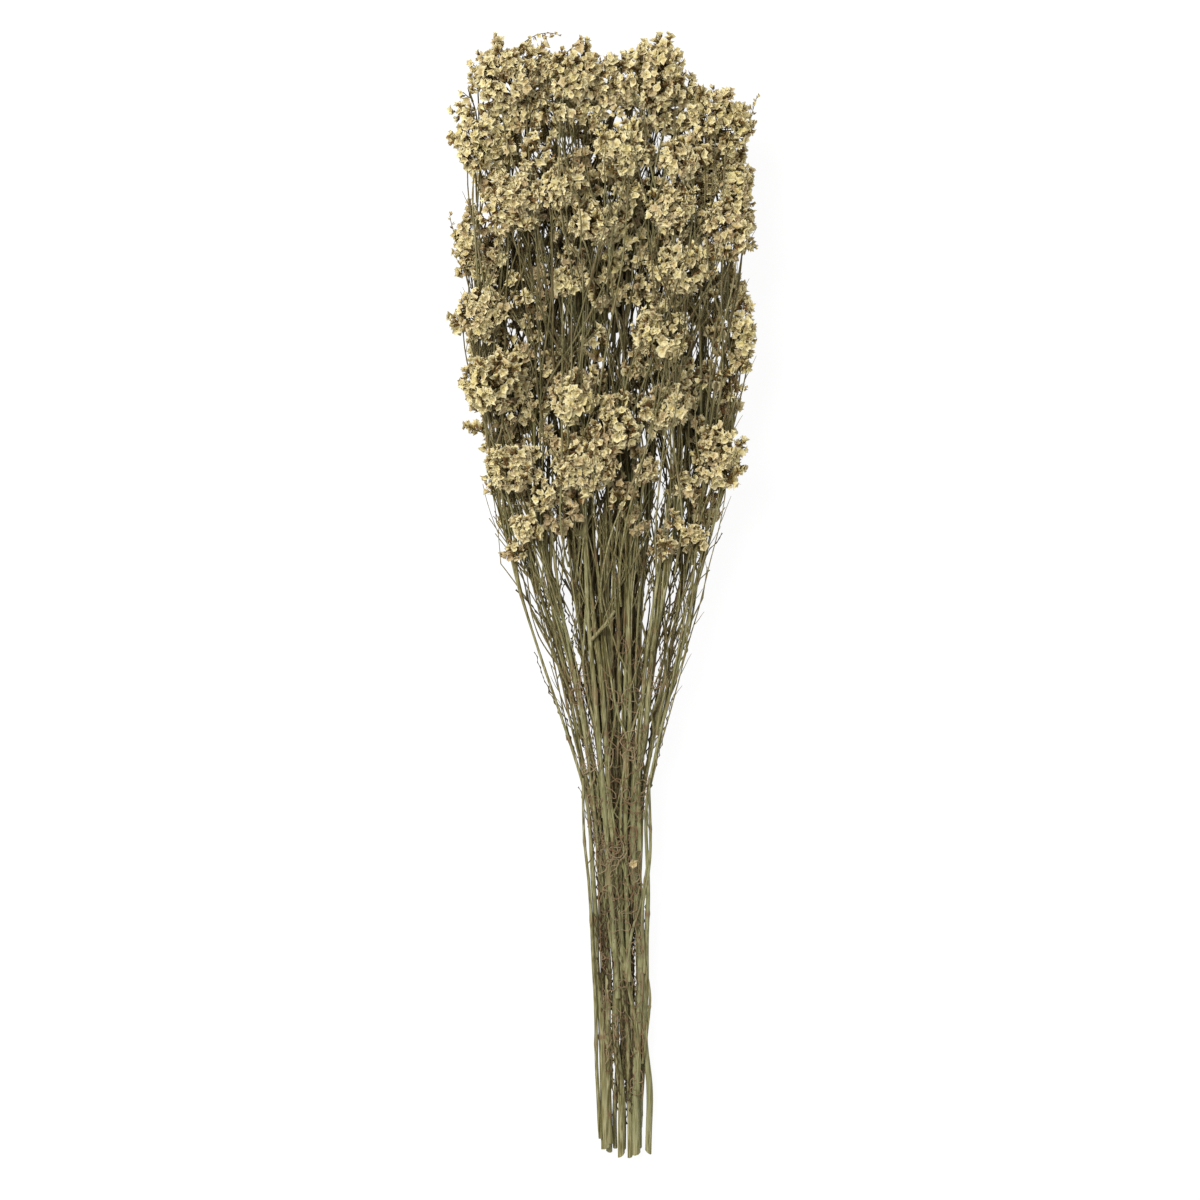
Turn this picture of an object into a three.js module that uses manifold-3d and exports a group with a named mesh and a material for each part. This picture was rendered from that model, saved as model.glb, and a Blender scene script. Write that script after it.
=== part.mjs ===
// A loose bunch of dried sea lavender lying on a surface: cut, forking stems with papery flower heads.
// Lengths are in millimetres. +Y runs from the cut ends to the flowers, +Z is up and z = 0 is the surface.
import * as THREE from "three";
import { mergeVertices } from "three/addons/utils/BufferGeometryUtils.js";
import Module from "manifold-3d";

const { MathUtils, Vector2, Vector3 } = THREE;
const wasm = await Module();
wasm.setup();

const UP = new Vector3(0, 0, 1);
const ROD_AXIS = new Vector3(0, 1, 0); // the axis that rods and cups are made on

// The bunch as a whole.
const CUT_Y = -337.5;
const CUT_HALF_WIDTH = 12;
const LOOSENING = 8; // how much wider the bunch lies under the flowers, before it fans out
const FANNING = 54;
const FAN_FROM_Y = -165;
const FAN_TO_Y = 118;
const CUT_CENTRE_X = 13;
const CENTRED_Y = 190;
const CUT_Z = 2.9;
const MIDDLE_Z = 38;
const RISE_FROM_Y = -380;
const RISE_TO_Y = 130;
const ROW_OFFSET_CUT = 2.1;
const ROW_OFFSET_FAN = 3.8;
const SWAY = 2.5;
const SWAY_LENGTH = 44;
const SWAY_PHASE = 2.4;

// The stems.
const CUT_BACK = [6, 3, 9, 5, 1, 4, 0, 7, 2, 5, 3];
const CUT_RADIUS = [2.2, 2.0, 2.2, 1.9, 2.1, 2.2, 2.0, 2.2, 1.9, 2.1, 2.0];
const TRUNK_TOP_RADIUS = 1.3;
const BRANCH_RADIUS = 1.15;
const BRANCH_TIP_RADIUS = 0.8;
const TRUNK_SIDES = 5;
const BRANCH_SIDES = 4;
const TRUNK_STEP = 60;
const BRANCH_STEPS = 4;
const BRANCH_TWIST = 0.4;

// The flower heads: a smaller core carries cup-shaped florets.
const GAP = 0.3;
const CORE_SHARE = 0.5;
const LEAST_CORE = 3.5;
const FOOT_LENGTH = 2.5;
const FOOT_RADIUS = 1.3;
const FLORET_COVER = 0.75;
const WIDEST_SHARE = 0.56;
const CUP_DEPTH_SHARE = 0.6;
const FLORET_SIDES = 5;
const FLORET_CLEARANCE = 0.45;
const BARE_ANGLE = 0.95;
const DISTURBANCE = 0.3;
const ROOT_SHARE = 0.5;
const SIZE_SPREAD = 0.12;
const FLORET_SCALES = [1, 0.85, 0.7];
const PRESSED_BELOW = 2;
const GOLDEN_ANGLE = Math.PI * (3 - Math.sqrt(5));

// Heads of the upper side. stem counts from the left, at is the middle, half the half sizes,
// florets the count and reach how far below the head its branch leaves the stem.
const UPPER_HEADS = [
  { stem: 0, at: [-72, 276, 46], half: [20, 22, 17], florets: 16, reach: 70 },
  { stem: 2, at: [-56, 311, 58], half: [24, 23, 17], florets: 18, reach: 70 },
  { stem: 4, at: [-14, 312, 60], half: [22, 22, 17], florets: 17, reach: 70 },
  { stem: 6, at: [30, 312, 58], half: [22, 24, 17], florets: 17, reach: 70 },
  { stem: 8, at: [67, 289, 54], half: [23, 20, 16], florets: 16, reach: 70 },
  { stem: 6, at: [13, 271, 60], half: [21, 19, 16], florets: 15, reach: 100 },
  { stem: 8, at: [47, 265, 58], half: [17, 18, 15], florets: 13, reach: 90 },
  { stem: 10, at: [79, 250, 44], half: [14, 20, 16], florets: 12, reach: 70 },
  { stem: 2, at: [-54, 240, 58], half: [20, 20, 16], florets: 15, reach: 110 },
  { stem: 4, at: [-25, 247, 62], half: [15, 18, 15], florets: 12, reach: 110 },
  { stem: 0, at: [-82, 214, 37.5], half: [10, 26, 13], florets: 11, reach: 90 },
  { stem: 4, at: [-4, 226, 60], half: [20, 17, 15], florets: 13, reach: 120 },
  { stem: 6, at: [40, 234, 60], half: [18, 19, 16], florets: 14, reach: 130 },
  { stem: 8, at: [72, 220, 56], half: [19, 22, 17], florets: 16, reach: 120 },
  { stem: 8, at: [46, 198, 58], half: [20, 18, 16], florets: 14, reach: 130 },
  { stem: 4, at: [-24, 192, 58], half: [10, 12, 9], florets: 7, reach: 130 },
  { stem: 0, at: [-74, 171, 55.5], half: [18, 21, 16], florets: 14, reach: 85 },
  { stem: 0, at: [-67, 132, 57], half: [22, 21, 17], florets: 16, reach: 130 },
  { stem: 6, at: [32, 157, 60], half: [19, 18, 14], florets: 13, reach: 130 },
  { stem: 10, at: [83, 160, 39.5], half: [10, 28, 14], florets: 12, reach: 120 },
  { stem: 4, at: [-18, 121, 60], half: [18, 17, 15], florets: 13, reach: 120 },
  { stem: 6, at: [8, 104, 62], half: [17, 18, 15], florets: 12, reach: 130 },
  { stem: 4, at: [-14, 81, 58], half: [20, 18, 15], florets: 12, reach: 125 },
  { stem: 8, at: [39, 117, 58], half: [17, 17, 15], florets: 12, reach: 130 },
  { stem: 2, at: [-54, 80, 53], half: [19, 18, 15], florets: 13, reach: 120 },
  { stem: 10, at: [69, 86, 50], half: [18, 22, 15], florets: 14, reach: 130 },
  { stem: 6, at: [26, 79, 55], half: [9, 12, 9], florets: 7, reach: 110 },
  { stem: 2, at: [-47, 46, 51], half: [10, 12, 9], florets: 7, reach: 110 },
  { stem: 10, at: [57, 40, 46], half: [7, 9, 7], florets: 6, reach: 110 },
];

// Heads of the underside, three on each stem of the lower row, shifted on every other stem.
const LOWER_TIERS = 3;
const LOWER_FROM_Y = 110;
const LOWER_SPACING = 78;
const LOWER_SHIFT = 36;
const LOWER_Z = 16.5;
const LOWER_HALF = [23, 32, 17];
const LOWER_FLORETS = 11;
const LOWER_REACH = 100;
const LOWER_SPREAD = 1.06;

const SEED = 7;
const GROUND_SIZE = 1000;
const STEM_COLOURS = [0x77754c, 0x6d6c45, 0x858551, 0x8c825a];
const HEAD_COLOURS = [0xc9bc8a, 0xbfb07f, 0xcfc394, 0xb8a778];

// A repeatable stream of numbers from 0 to 1.
function seededDraws(seed) {
  let state = seed;
  return () => {
    state = (state * 1664525 + 1013904223) % 4294967296;
    return state / 4294967296;
  };
}

// A closed three.js geometry as a solid: shared corners are merged and collapsed triangles dropped.
function solidFrom(geometry) {
  geometry.deleteAttribute("normal");
  geometry.deleteAttribute("uv");
  const merged = mergeVertices(geometry, 1e-4);
  const corners = merged.index.array;
  const kept = [];
  for (let i = 0; i < corners.length; i += 3) {
    const [a, b, c] = corners.slice(i, i + 3);
    if (a !== b && b !== c && c !== a) kept.push(a, b, c);
  }
  const vertProperties = new Float32Array(merged.attributes.position.array);
  const triVerts = new Uint32Array(kept);
  return new wasm.Manifold(new wasm.Mesh({ numProp: 3, vertProperties, triVerts }));
}

function geometryFrom(solid) {
  const { vertProperties, triVerts } = solid.getMesh();
  const geometry = new THREE.BufferGeometry();
  geometry.setAttribute("position", new THREE.BufferAttribute(vertProperties, 3));
  geometry.setIndex(new THREE.BufferAttribute(triVerts, 1));
  geometry.computeVertexNormals();
  return geometry;
}

// A tapered rod bent along a curve that never runs straight up.
function bentRod(curve, startRadius, endRadius, sides, steps, twist) {
  const rod = new THREE.CylinderGeometry(1, 1, 1, sides, steps);
  const position = rod.attributes.position;
  const point = new Vector3();
  for (let i = 0; i < position.count; i++) {
    point.fromBufferAttribute(position, i);
    const along = point.y + 0.5;
    const radius = MathUtils.lerp(startRadius, endRadius, along);
    const ahead = curve.getTangentAt(along);
    const side = new Vector3().crossVectors(ahead, UP).normalize();
    const over = new Vector3().crossVectors(side, ahead);
    const turned = new Vector2(point.x, point.z).rotateAround(new Vector2(), twist);
    const bent = curve.getPointAt(along);
    bent.addScaledVector(side, turned.x * radius);
    bent.addScaledVector(over, turned.y * radius);
    position.setXYZ(i, bent.x, bent.y, bent.z);
  }
  return solidFrom(rod);
}

// Where a stem's axis lies at a given y: side by side at the cut ends, fanned out under the flowers.
function laneAt(stem, y) {
  const spread = MathUtils.smoothstep(y, FAN_FROM_Y, FAN_TO_Y);
  const rise = MathUtils.smoothstep(y, RISE_FROM_Y, RISE_TO_Y);
  const offCentre = 1 - MathUtils.smoothstep(y, CUT_Y, CENTRED_Y);
  const across = (2 * stem.index) / (CUT_RADIUS.length - 1) - 1;
  const loosened = MathUtils.clamp(MathUtils.inverseLerp(CUT_Y, FAN_TO_Y, y), 0, 1);
  const halfWidth = CUT_HALF_WIDTH + LOOSENING * loosened + FANNING * spread;
  const sway = spread * SWAY * Math.sin(y / SWAY_LENGTH + SWAY_PHASE * stem.index);
  const rowOffset = MathUtils.lerp(ROW_OFFSET_CUT, ROW_OFFSET_FAN, spread);
  return new Vector3(
    CUT_CENTRE_X * offCentre + across * halfWidth + sway,
    y,
    MathUtils.lerp(CUT_Z, MIDDLE_Z, rise) + stem.row * rowOffset,
  );
}

// How far an ellipsoid reaches from its middle in one direction.
function ellipsoidReach(half, direction) {
  return 1 / direction.clone().divide(half).length();
}

function makeStem(index, heads) {
  const own = heads.filter((head) => head.stem === index);
  const stem = { index, row: index % 2 ? -1 : 1, heads: own };
  stem.cutY = CUT_Y + CUT_BACK[index];
  stem.cutRadius = CUT_RADIUS[index];
  stem.topY = Math.max(...own.map((head) => head.centre.y - head.reach));
  return stem;
}

function makeHead(entry) {
  const centre = new Vector3(...entry.at);
  const half = new Vector3(...entry.half);
  const core = half.clone().multiplyScalar(CORE_SHARE).max(new Vector3().setScalar(LEAST_CORE));
  return { ...entry, centre, half, core };
}

// The foot of a head points back to the stem that its branch comes from.
function placeFoot(head, stem) {
  const behind = laneAt(stem, head.centre.y - head.reach / 2);
  head.footAxis = behind.sub(head.centre).normalize();
  head.footEnd = ellipsoidReach(head.core, head.footAxis) + FOOT_LENGTH;
}

// The centre line of a branch: it leaves the stem at a sharp angle and runs into the head's foot.
function branchCurve(stem, head) {
  const forkY = head.centre.y - head.reach;
  const start = laneAt(stem, forkY);
  const end = head.centre.clone().addScaledVector(head.footAxis, head.footEnd + GAP);
  const chord = end.clone().sub(start);
  const lead = chord.length() / 3;
  const ahead = laneAt(stem, forkY + 1).sub(start).normalize();
  ahead.addScaledVector(chord, 1 / chord.length()).normalize();
  return new THREE.CubicBezierCurve3(
    start,
    start.clone().addScaledVector(ahead, lead),
    end.clone().addScaledVector(head.footAxis, lead),
    end,
  );
}

function stemSolid(stem) {
  const steps = Math.ceil((stem.topY - stem.cutY) / TRUNK_STEP);
  const points = [];
  for (let i = 0; i <= steps; i++) {
    points.push(laneAt(stem, MathUtils.lerp(stem.cutY, stem.topY, i / steps)));
  }
  const trunkLine = new THREE.CatmullRomCurve3(points);
  let solid = bentRod(trunkLine, stem.cutRadius, TRUNK_TOP_RADIUS, TRUNK_SIDES, steps, 0);
  stem.heads.forEach((head, i) => {
    const curve = branchCurve(stem, head);
    const twist = BRANCH_TWIST + i;
    const branch = bentRod(curve, BRANCH_RADIUS, BRANCH_TIP_RADIUS, BRANCH_SIDES, BRANCH_STEPS, twist);
    solid = solid.add(branch);
  });
  return solid;
}

// A rod from the middle of the core out to the branch.
function footSolid(head) {
  const foot = new THREE.CylinderGeometry(FOOT_RADIUS, FOOT_RADIUS, head.footEnd, TRUNK_SIDES, 1);
  foot.translate(0, head.footEnd / 2, 0);
  foot.applyQuaternion(new THREE.Quaternion().setFromUnitVectors(ROD_AXIS, head.footAxis));
  foot.translate(head.centre.x, head.centre.y, head.centre.z);
  return solidFrom(foot);
}

function coreSolid(head, draw) {
  const core = new THREE.IcosahedronGeometry(1, 0);
  core.rotateX(draw() * Math.PI);
  core.rotateY(draw() * Math.PI);
  core.scale(head.core.x, head.core.y, head.core.z);
  core.translate(head.centre.x, head.centre.y, head.centre.z);
  return solidFrom(core);
}

// One floret: a five-sided cup whose point is sunk in the core.
function floretSolid(root, tip, radius, depth, turn) {
  const length = tip.distanceTo(root);
  const profile = [new Vector2(0, 0), new Vector2(radius, length), new Vector2(0, length - depth)];
  const cup = new THREE.LatheGeometry(profile, FLORET_SIDES, turn);
  const axis = tip.clone().sub(root).normalize();
  cup.applyQuaternion(new THREE.Quaternion().setFromUnitVectors(ROD_AXIS, axis));
  cup.translate(root.x, root.y, root.z);
  return solidFrom(cup);
}

// The radius with which a head's florets cover most of its ellipsoid, whose surface is a power mean.
function floretRadius(head) {
  const { x, y, z } = head.half;
  const power = 1.6;
  const mean = ((x * y) ** power + (x * z) ** power + (y * z) ** power) / 3;
  const surface = 4 * Math.PI * mean ** (1 / power);
  const covering = Math.sqrt((FLORET_COVER * surface) / (head.florets * Math.PI));
  return Math.min(covering, WIDEST_SHARE * Math.min(x, y, z));
}

// Evenly spread, slightly disturbed directions round a head, with its foot left bare.
function floretDirections(head, draw) {
  const directions = [];
  const turn = draw() * 2 * Math.PI;
  for (let i = 0; i < head.florets; i++) {
    const height = 1 - (2 * i + 1) / head.florets;
    const around = Math.sqrt(1 - height * height);
    const angle = turn + i * GOLDEN_ANGLE;
    const direction = new Vector3(around * Math.cos(angle), around * Math.sin(angle), height);
    direction.x += (draw() - 0.5) * DISTURBANCE;
    direction.y += (draw() - 0.5) * DISTURBANCE;
    direction.normalize();
    if (direction.angleTo(head.footAxis) > BARE_ANGLE) directions.push(direction);
  }
  return directions;
}

// The largest floret in one direction that stays clear of every other solid, or nothing.
function fittedFloret(head, direction, others, draw) {
  const outer = direction.clone().multiply(head.half).add(head.centre);
  const root = direction.clone().multiply(head.core).multiplyScalar(ROOT_SHARE).add(head.centre);
  const turn = draw() * Math.PI;
  const full = floretRadius(head) * MathUtils.lerp(1 - SIZE_SPREAD, 1 + SIZE_SPREAD, draw());
  for (const scale of FLORET_SCALES) {
    const radius = full * scale;
    const tip = root.clone().lerp(outer, scale);
    const pressed = tip.z < PRESSED_BELOW;
    const depth = pressed ? 0 : radius * CUP_DEPTH_SHARE;
    const reach = tip.clone().sub(root).setLength(FLORET_CLEARANCE).add(tip);
    const room = floretSolid(root, reach, radius + FLORET_CLEARANCE, 0, turn);
    if (others.every((other) => isClear(room, other))) {
      return floretSolid(root, tip, radius, depth, turn);
    }
  }
  return null;
}

function isClear(solid, other) {
  const a = solid.boundingBox();
  const b = other.boundingBox();
  const apart = [0, 1, 2].some((k) => a.max[k] < b.min[k] || b.max[k] < a.min[k]);
  return apart || solid.intersect(other).isEmpty();
}

function headSolid(head, core, others, draw) {
  let solid = core;
  for (const direction of floretDirections(head, draw)) {
    const floret = fittedFloret(head, direction, others, draw);
    if (floret) solid = solid.add(floret);
  }
  return solid;
}

function lowerHeads() {
  const heads = [];
  for (let stem = 1; stem < CUT_RADIUS.length; stem += 2) {
    for (let tier = 0; tier < LOWER_TIERS; tier++) {
      const shift = stem % 4 === 3 ? LOWER_SHIFT : 0;
      const y = LOWER_FROM_Y + tier * LOWER_SPACING + shift;
      const x = laneAt({ index: stem, row: -1 }, y).x * LOWER_SPREAD;
      const entry = { stem, at: [x, y, LOWER_Z], half: LOWER_HALF, florets: LOWER_FLORETS };
      heads.push({ ...entry, reach: LOWER_REACH });
    }
  }
  return heads;
}

// Nothing reaches below the surface: what presses on it is flat there.
function restOnSurface(solid) {
  const below = new THREE.BoxGeometry(GROUND_SIZE, GROUND_SIZE, GROUND_SIZE);
  below.translate(0, 0, -GROUND_SIZE / 2);
  return solid.subtract(solidFrom(below));
}

function namedMesh(name, solid, colour) {
  const material = new THREE.MeshStandardMaterial({ color: colour, roughness: 0.85, metalness: 0 });
  const mesh = new THREE.Mesh(geometryFrom(restOnSurface(solid)), material);
  mesh.name = name;
  return mesh;
}

function numbered(name, index) {
  return `${name}_${String(index + 1).padStart(2, "0")}`;
}

function makeBunch() {
  const draw = seededDraws(SEED);
  const heads = [...UPPER_HEADS, ...lowerHeads()].map(makeHead);
  const stems = CUT_RADIUS.map((_, index) => makeStem(index, heads));
  heads.forEach((head) => placeFoot(head, stems[head.stem]));
  const stemSolids = stems.map(stemSolid);
  const headSolids = heads.map((head) => coreSolid(head, draw).add(footSolid(head)));
  heads.forEach((head, i) => {
    const others = [...stemSolids, ...headSolids.filter((_, j) => j !== i)];
    headSolids[i] = headSolid(head, headSolids[i], others, draw);
  });
  const bunch = new THREE.Group();
  stemSolids.forEach((solid, i) => {
    bunch.add(namedMesh(numbered("stem", i), solid, STEM_COLOURS[i % STEM_COLOURS.length]));
  });
  headSolids.forEach((solid, i) => {
    bunch.add(namedMesh(numbered("head", i), solid, HEAD_COLOURS[i % HEAD_COLOURS.length]));
  });
  return bunch;
}

// The origin is under the middle of the bunch, on the surface.
const bunch = makeBunch();
const box = new THREE.Box3().setFromObject(bunch);
const middle = box.getCenter(new Vector3());
bunch.position.set(-middle.x, -middle.y, -box.min.z);
const part = new THREE.Group();
part.add(bunch);
export default part;
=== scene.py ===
"""A loose bunch of dried sea lavender lying on a pale floor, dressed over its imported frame.

Shapes are worked out in millimetres and become metres when a mesh is made. +Y runs from the cut
ends to the flowers, and z = 0 is the floor that the bunch lies on.
"""

from __future__ import annotations

import logging
import math
from collections.abc import Iterable, Mapping, Sequence
from dataclasses import dataclass, field
from enum import Enum
from typing import Any, ClassVar

import bpy
import numpy as np
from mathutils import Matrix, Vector

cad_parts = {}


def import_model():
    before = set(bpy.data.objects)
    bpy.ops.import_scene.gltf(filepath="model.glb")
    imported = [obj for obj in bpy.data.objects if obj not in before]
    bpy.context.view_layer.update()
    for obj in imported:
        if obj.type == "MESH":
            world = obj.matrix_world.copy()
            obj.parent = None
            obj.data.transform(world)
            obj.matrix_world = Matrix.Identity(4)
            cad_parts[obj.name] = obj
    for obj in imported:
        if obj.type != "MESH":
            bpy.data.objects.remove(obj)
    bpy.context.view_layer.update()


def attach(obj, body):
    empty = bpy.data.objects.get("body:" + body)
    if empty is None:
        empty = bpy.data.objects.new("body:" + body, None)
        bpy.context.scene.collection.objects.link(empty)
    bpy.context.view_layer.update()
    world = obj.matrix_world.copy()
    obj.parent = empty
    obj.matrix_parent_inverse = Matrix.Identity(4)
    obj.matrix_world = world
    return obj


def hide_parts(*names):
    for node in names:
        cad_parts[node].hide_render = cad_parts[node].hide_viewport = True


LOG = logging.getLogger("sea_lavender")
MM = 0.001
BODY = "root"
STEM_SLOT = "dried_stem"
FLOWER_SLOT = "papery_flower"
LOWEST_POINT = 0.02
OVER_FROM_Y = 140
SIDE_GROUPS = 5
INNER_GROUPS = 4
# Low tints turn the inner sprays rosy brown. This is partly their own browner colour and partly painted
# shade for their place deep in the bunch.
INNER_SHADED_TINTS = (0.0, 0.3)
INNER_FULLNESS = 1.1
UP = np.array([0.0, 0.0, 1.0])

Span = tuple[float, float]
Point = tuple[float, float, float]
Colour = tuple[float, float, float]


# Numbers and curves


def unit(vectors: np.ndarray) -> np.ndarray:
    """Scales one vector, or each row of vectors, to length 1."""
    size = np.linalg.norm(vectors, axis=-1, keepdims=True)
    return vectors / np.maximum(size, 1e-9)


def smooth_step(value: np.ndarray | float, low: float, high: float) -> np.ndarray:
    """Rises smoothly from 0 at low to 1 at high."""
    share = np.clip((np.asarray(value, float) - low) / (high - low), 0, 1)
    return share * share * (3 - 2 * share)


def bezier(points: Sequence[np.ndarray], count: int) -> np.ndarray:
    """Points along a Bezier curve.

    Args:
        points: Three or four control points.
        count: How many points to return, both ends among them.

    Returns:
        An array with one row a point.
    """
    level = [np.repeat(np.asarray(p, float)[None], count, axis=0) for p in points]
    share = np.linspace(0, 1, count)[:, None]
    while len(level) > 1:
        level = [a + (b - a) * share for a, b in zip(level, level[1:])]
    return level[0]


def at_length(path: np.ndarray, lengths: np.ndarray) -> tuple[np.ndarray, np.ndarray]:
    """Finds points and directions at given lengths along a path.

    Args:
        path: The path's points, one a row.
        lengths: Distances from the path's start.

    Returns:
        The points and the unit directions there.
    """
    steps = np.linalg.norm(np.diff(path, axis=0), axis=1)
    run, near = np.concatenate([[0], np.cumsum(steps)]), 0.4
    places = (lengths, lengths + near, lengths - near)
    found, ahead, behind = (np.stack([np.interp(p, run, path[:, k]) for k in range(3)], 1) for p in places)
    return found, unit(ahead - behind)


def spot_on(path: np.ndarray, length: float) -> tuple[np.ndarray, np.ndarray]:
    """The point and the direction at one length along a path."""
    found, ahead = at_length(path, np.array([length]))
    return found[0], ahead[0]


def length_of(path: np.ndarray) -> float:
    """The length of a path."""
    return float(np.linalg.norm(np.diff(path, axis=0), axis=1).sum())


class Draws:
    """A repeatable stream of random numbers."""

    def __init__(self, seed: int) -> None:
        """Starts the stream at a seed."""
        self.stream = np.random.default_rng(seed)

    def between(self, low: float, high: float, *shape: int) -> Any:
        """Even numbers from low to high, one or an array of them."""
        return self.stream.uniform(low, high, shape or None)

    def wander(self, path: np.ndarray, size: float, pitch: float) -> np.ndarray:
        """Bends a path by a soft random wave.

        Args:
            path: The path's points.
            size: How far the wave strays.
            pitch: The rough length between two turns.

        Returns:
            The bent path, with its ends where they were.
        """
        knots = max(3, int(length_of(path) / pitch) + 2)
        knot_at = np.linspace(0, 1, knots)
        share = np.linspace(0, 1, len(path))
        held = np.sin(np.pi * share) ** 0.5
        stray = self.between(-size, size, knots, 3)
        waves = [np.interp(share, knot_at, stray[:, k]) for k in range(3)]
        if len(path) > 8:
            kernel = np.ones(5) / 5
            waves = [np.convolve(np.pad(wave, 2, mode="edge"), kernel, "valid") for wave in waves]
        return path + np.stack(waves, axis=1) * held[:, None]


# Meshes


class Shape:
    """Gathers the triangles of one piece, with the paint values of its points."""

    # pith paints pale cut ends where it is positive; where it is negative it darkens towards dark brown, for
    # dark twigs and for painted shade.
    PAINTS = ("rise", "tint", "husk", "twig", "mark", "pith")

    def __init__(self) -> None:
        """Starts with nothing in it."""
        self.points: list[np.ndarray] = []
        self.corners: list[np.ndarray] = []
        self.paint: dict[str, list[np.ndarray]] = {name: [] for name in self.PAINTS}
        self.count = 0

    def add(self, points: np.ndarray, corners: np.ndarray, **paint: np.ndarray | float) -> None:
        """Adds a patch of triangles.

        Args:
            points: Its points in millimetres.
            corners: Three point numbers for each triangle.
            **paint: Paint values by name, one for all points or one a point.
        """
        self.points.append(points)
        self.corners.append(corners + self.count)
        for name, values in self.paint.items():
            values.append(np.broadcast_to(np.asarray(paint.get(name, 0.0), float), (len(points),)))
        self.count += len(points)

    def piece(self, name: str, finish: bpy.types.Material, slot: str, sharp: float) -> bpy.types.Object:
        """Makes the Blender object and lets it ride on the bunch.

        Args:
            name: The piece's name.
            finish: Its material.
            slot: The name of a material slot; not used.
            sharp: The angle in degrees over which an edge stays sharp.

        Returns:
            The object.
        """
        points = np.concatenate(self.points)
        points[:, 2] = np.maximum(points[:, 2], LOWEST_POINT)
        corners = np.concatenate(self.corners).astype(np.int32)
        mesh = bpy.data.meshes.new(name)
        mesh.vertices.add(len(points))
        mesh.vertices.foreach_set("co", (points * MM).astype(np.float32).ravel())
        mesh.loops.add(corners.size)
        mesh.loops.foreach_set("vertex_index", corners.ravel())
        mesh.polygons.add(len(corners))
        mesh.polygons.foreach_set("loop_start", np.arange(0, corners.size, 3, dtype=np.int32))
        for paint_name, values in self.paint.items():
            layer = mesh.attributes.new(paint_name, "FLOAT", "POINT")
            layer.data.foreach_set("value", np.concatenate(values).astype(np.float32))
        mesh.update(calc_edges=True)
        mesh.polygons.foreach_set("use_smooth", np.ones(len(corners), dtype=bool))
        mesh.set_sharp_from_angle(angle=math.radians(sharp))
        mesh.materials.append(finish)
        made = bpy.data.objects.new(name, mesh)
        bpy.context.scene.collection.objects.link(made)
        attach(made, BODY)
        return made


class Rod:
    """A closed rod that follows a path, round or fluted."""

    def __init__(self, path: np.ndarray, radii: np.ndarray, sides: int, flute: float = 0.0) -> None:
        """Works out the rod's rings.

        Args:
            path: The middle line's points.
            radii: The radius at each of them.
            sides: How many points a ring has.
            flute: How deep every second point lies, as a share of the radius.
        """
        tangents = unit(np.gradient(path, axis=0))
        side = unit(np.cross(tangents[0], UP) + np.array([1e-6, 0, 0]))
        rows = []
        for tangent in tangents:
            side = side - tangent * float(side @ tangent)
            side = side / max(float(np.linalg.norm(side)), 1e-9)
            rows.append(side)
        across = np.array(rows)
        above = np.cross(across, tangents)
        turn = np.linspace(0, 2 * math.pi, sides, endpoint=False)
        profile = 1 - flute * (np.arange(sides) % 2)
        ring_x = np.cos(turn) * profile
        ring_z = np.sin(turn) * profile
        spread = across[:, None] * ring_x[None, :, None] + above[:, None] * ring_z[None, :, None]
        self.rings = path[:, None] + spread * np.asarray(radii)[:, None, None]
        self.path = path
        self.sides = sides

    def add_to(self, shape: Shape, **paint: np.ndarray | float) -> None:
        """Adds the rod to a shape.

        Args:
            shape: The shape that takes it.
            **paint: Paint values, one for the rod or one for each point of its path.
        """
        count, sides = len(self.path), self.sides
        first, last = self.path[0], self.path[-1]
        points = np.concatenate([self.rings.reshape(-1, 3), first[None], last[None]])
        row = np.arange(sides)
        following = (row + 1) % sides
        base = (np.arange(count - 1) * sides)[:, None]
        a, b = base + row, base + following
        c, d = a + sides, b + sides
        wall = np.concatenate([np.stack(face, -1).reshape(-1, 3) for face in ((a, b, d), (a, d, c))])
        start, end = count * sides, count * sides + 1
        top = (count - 1) * sides
        low_cap = np.stack([np.full(sides, start), following, row], -1)
        high_cap = np.stack([np.full(sides, end), top + row, top + following], -1)
        spread_paint = {}
        for name, values in paint.items():
            values = np.broadcast_to(np.asarray(values, float), (count,))
            spread_paint[name] = np.concatenate([np.repeat(values, sides), values[:1], values[-1:]])
        shape.add(points, np.concatenate([wall, low_cap, high_cap]), **spread_paint)


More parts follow.
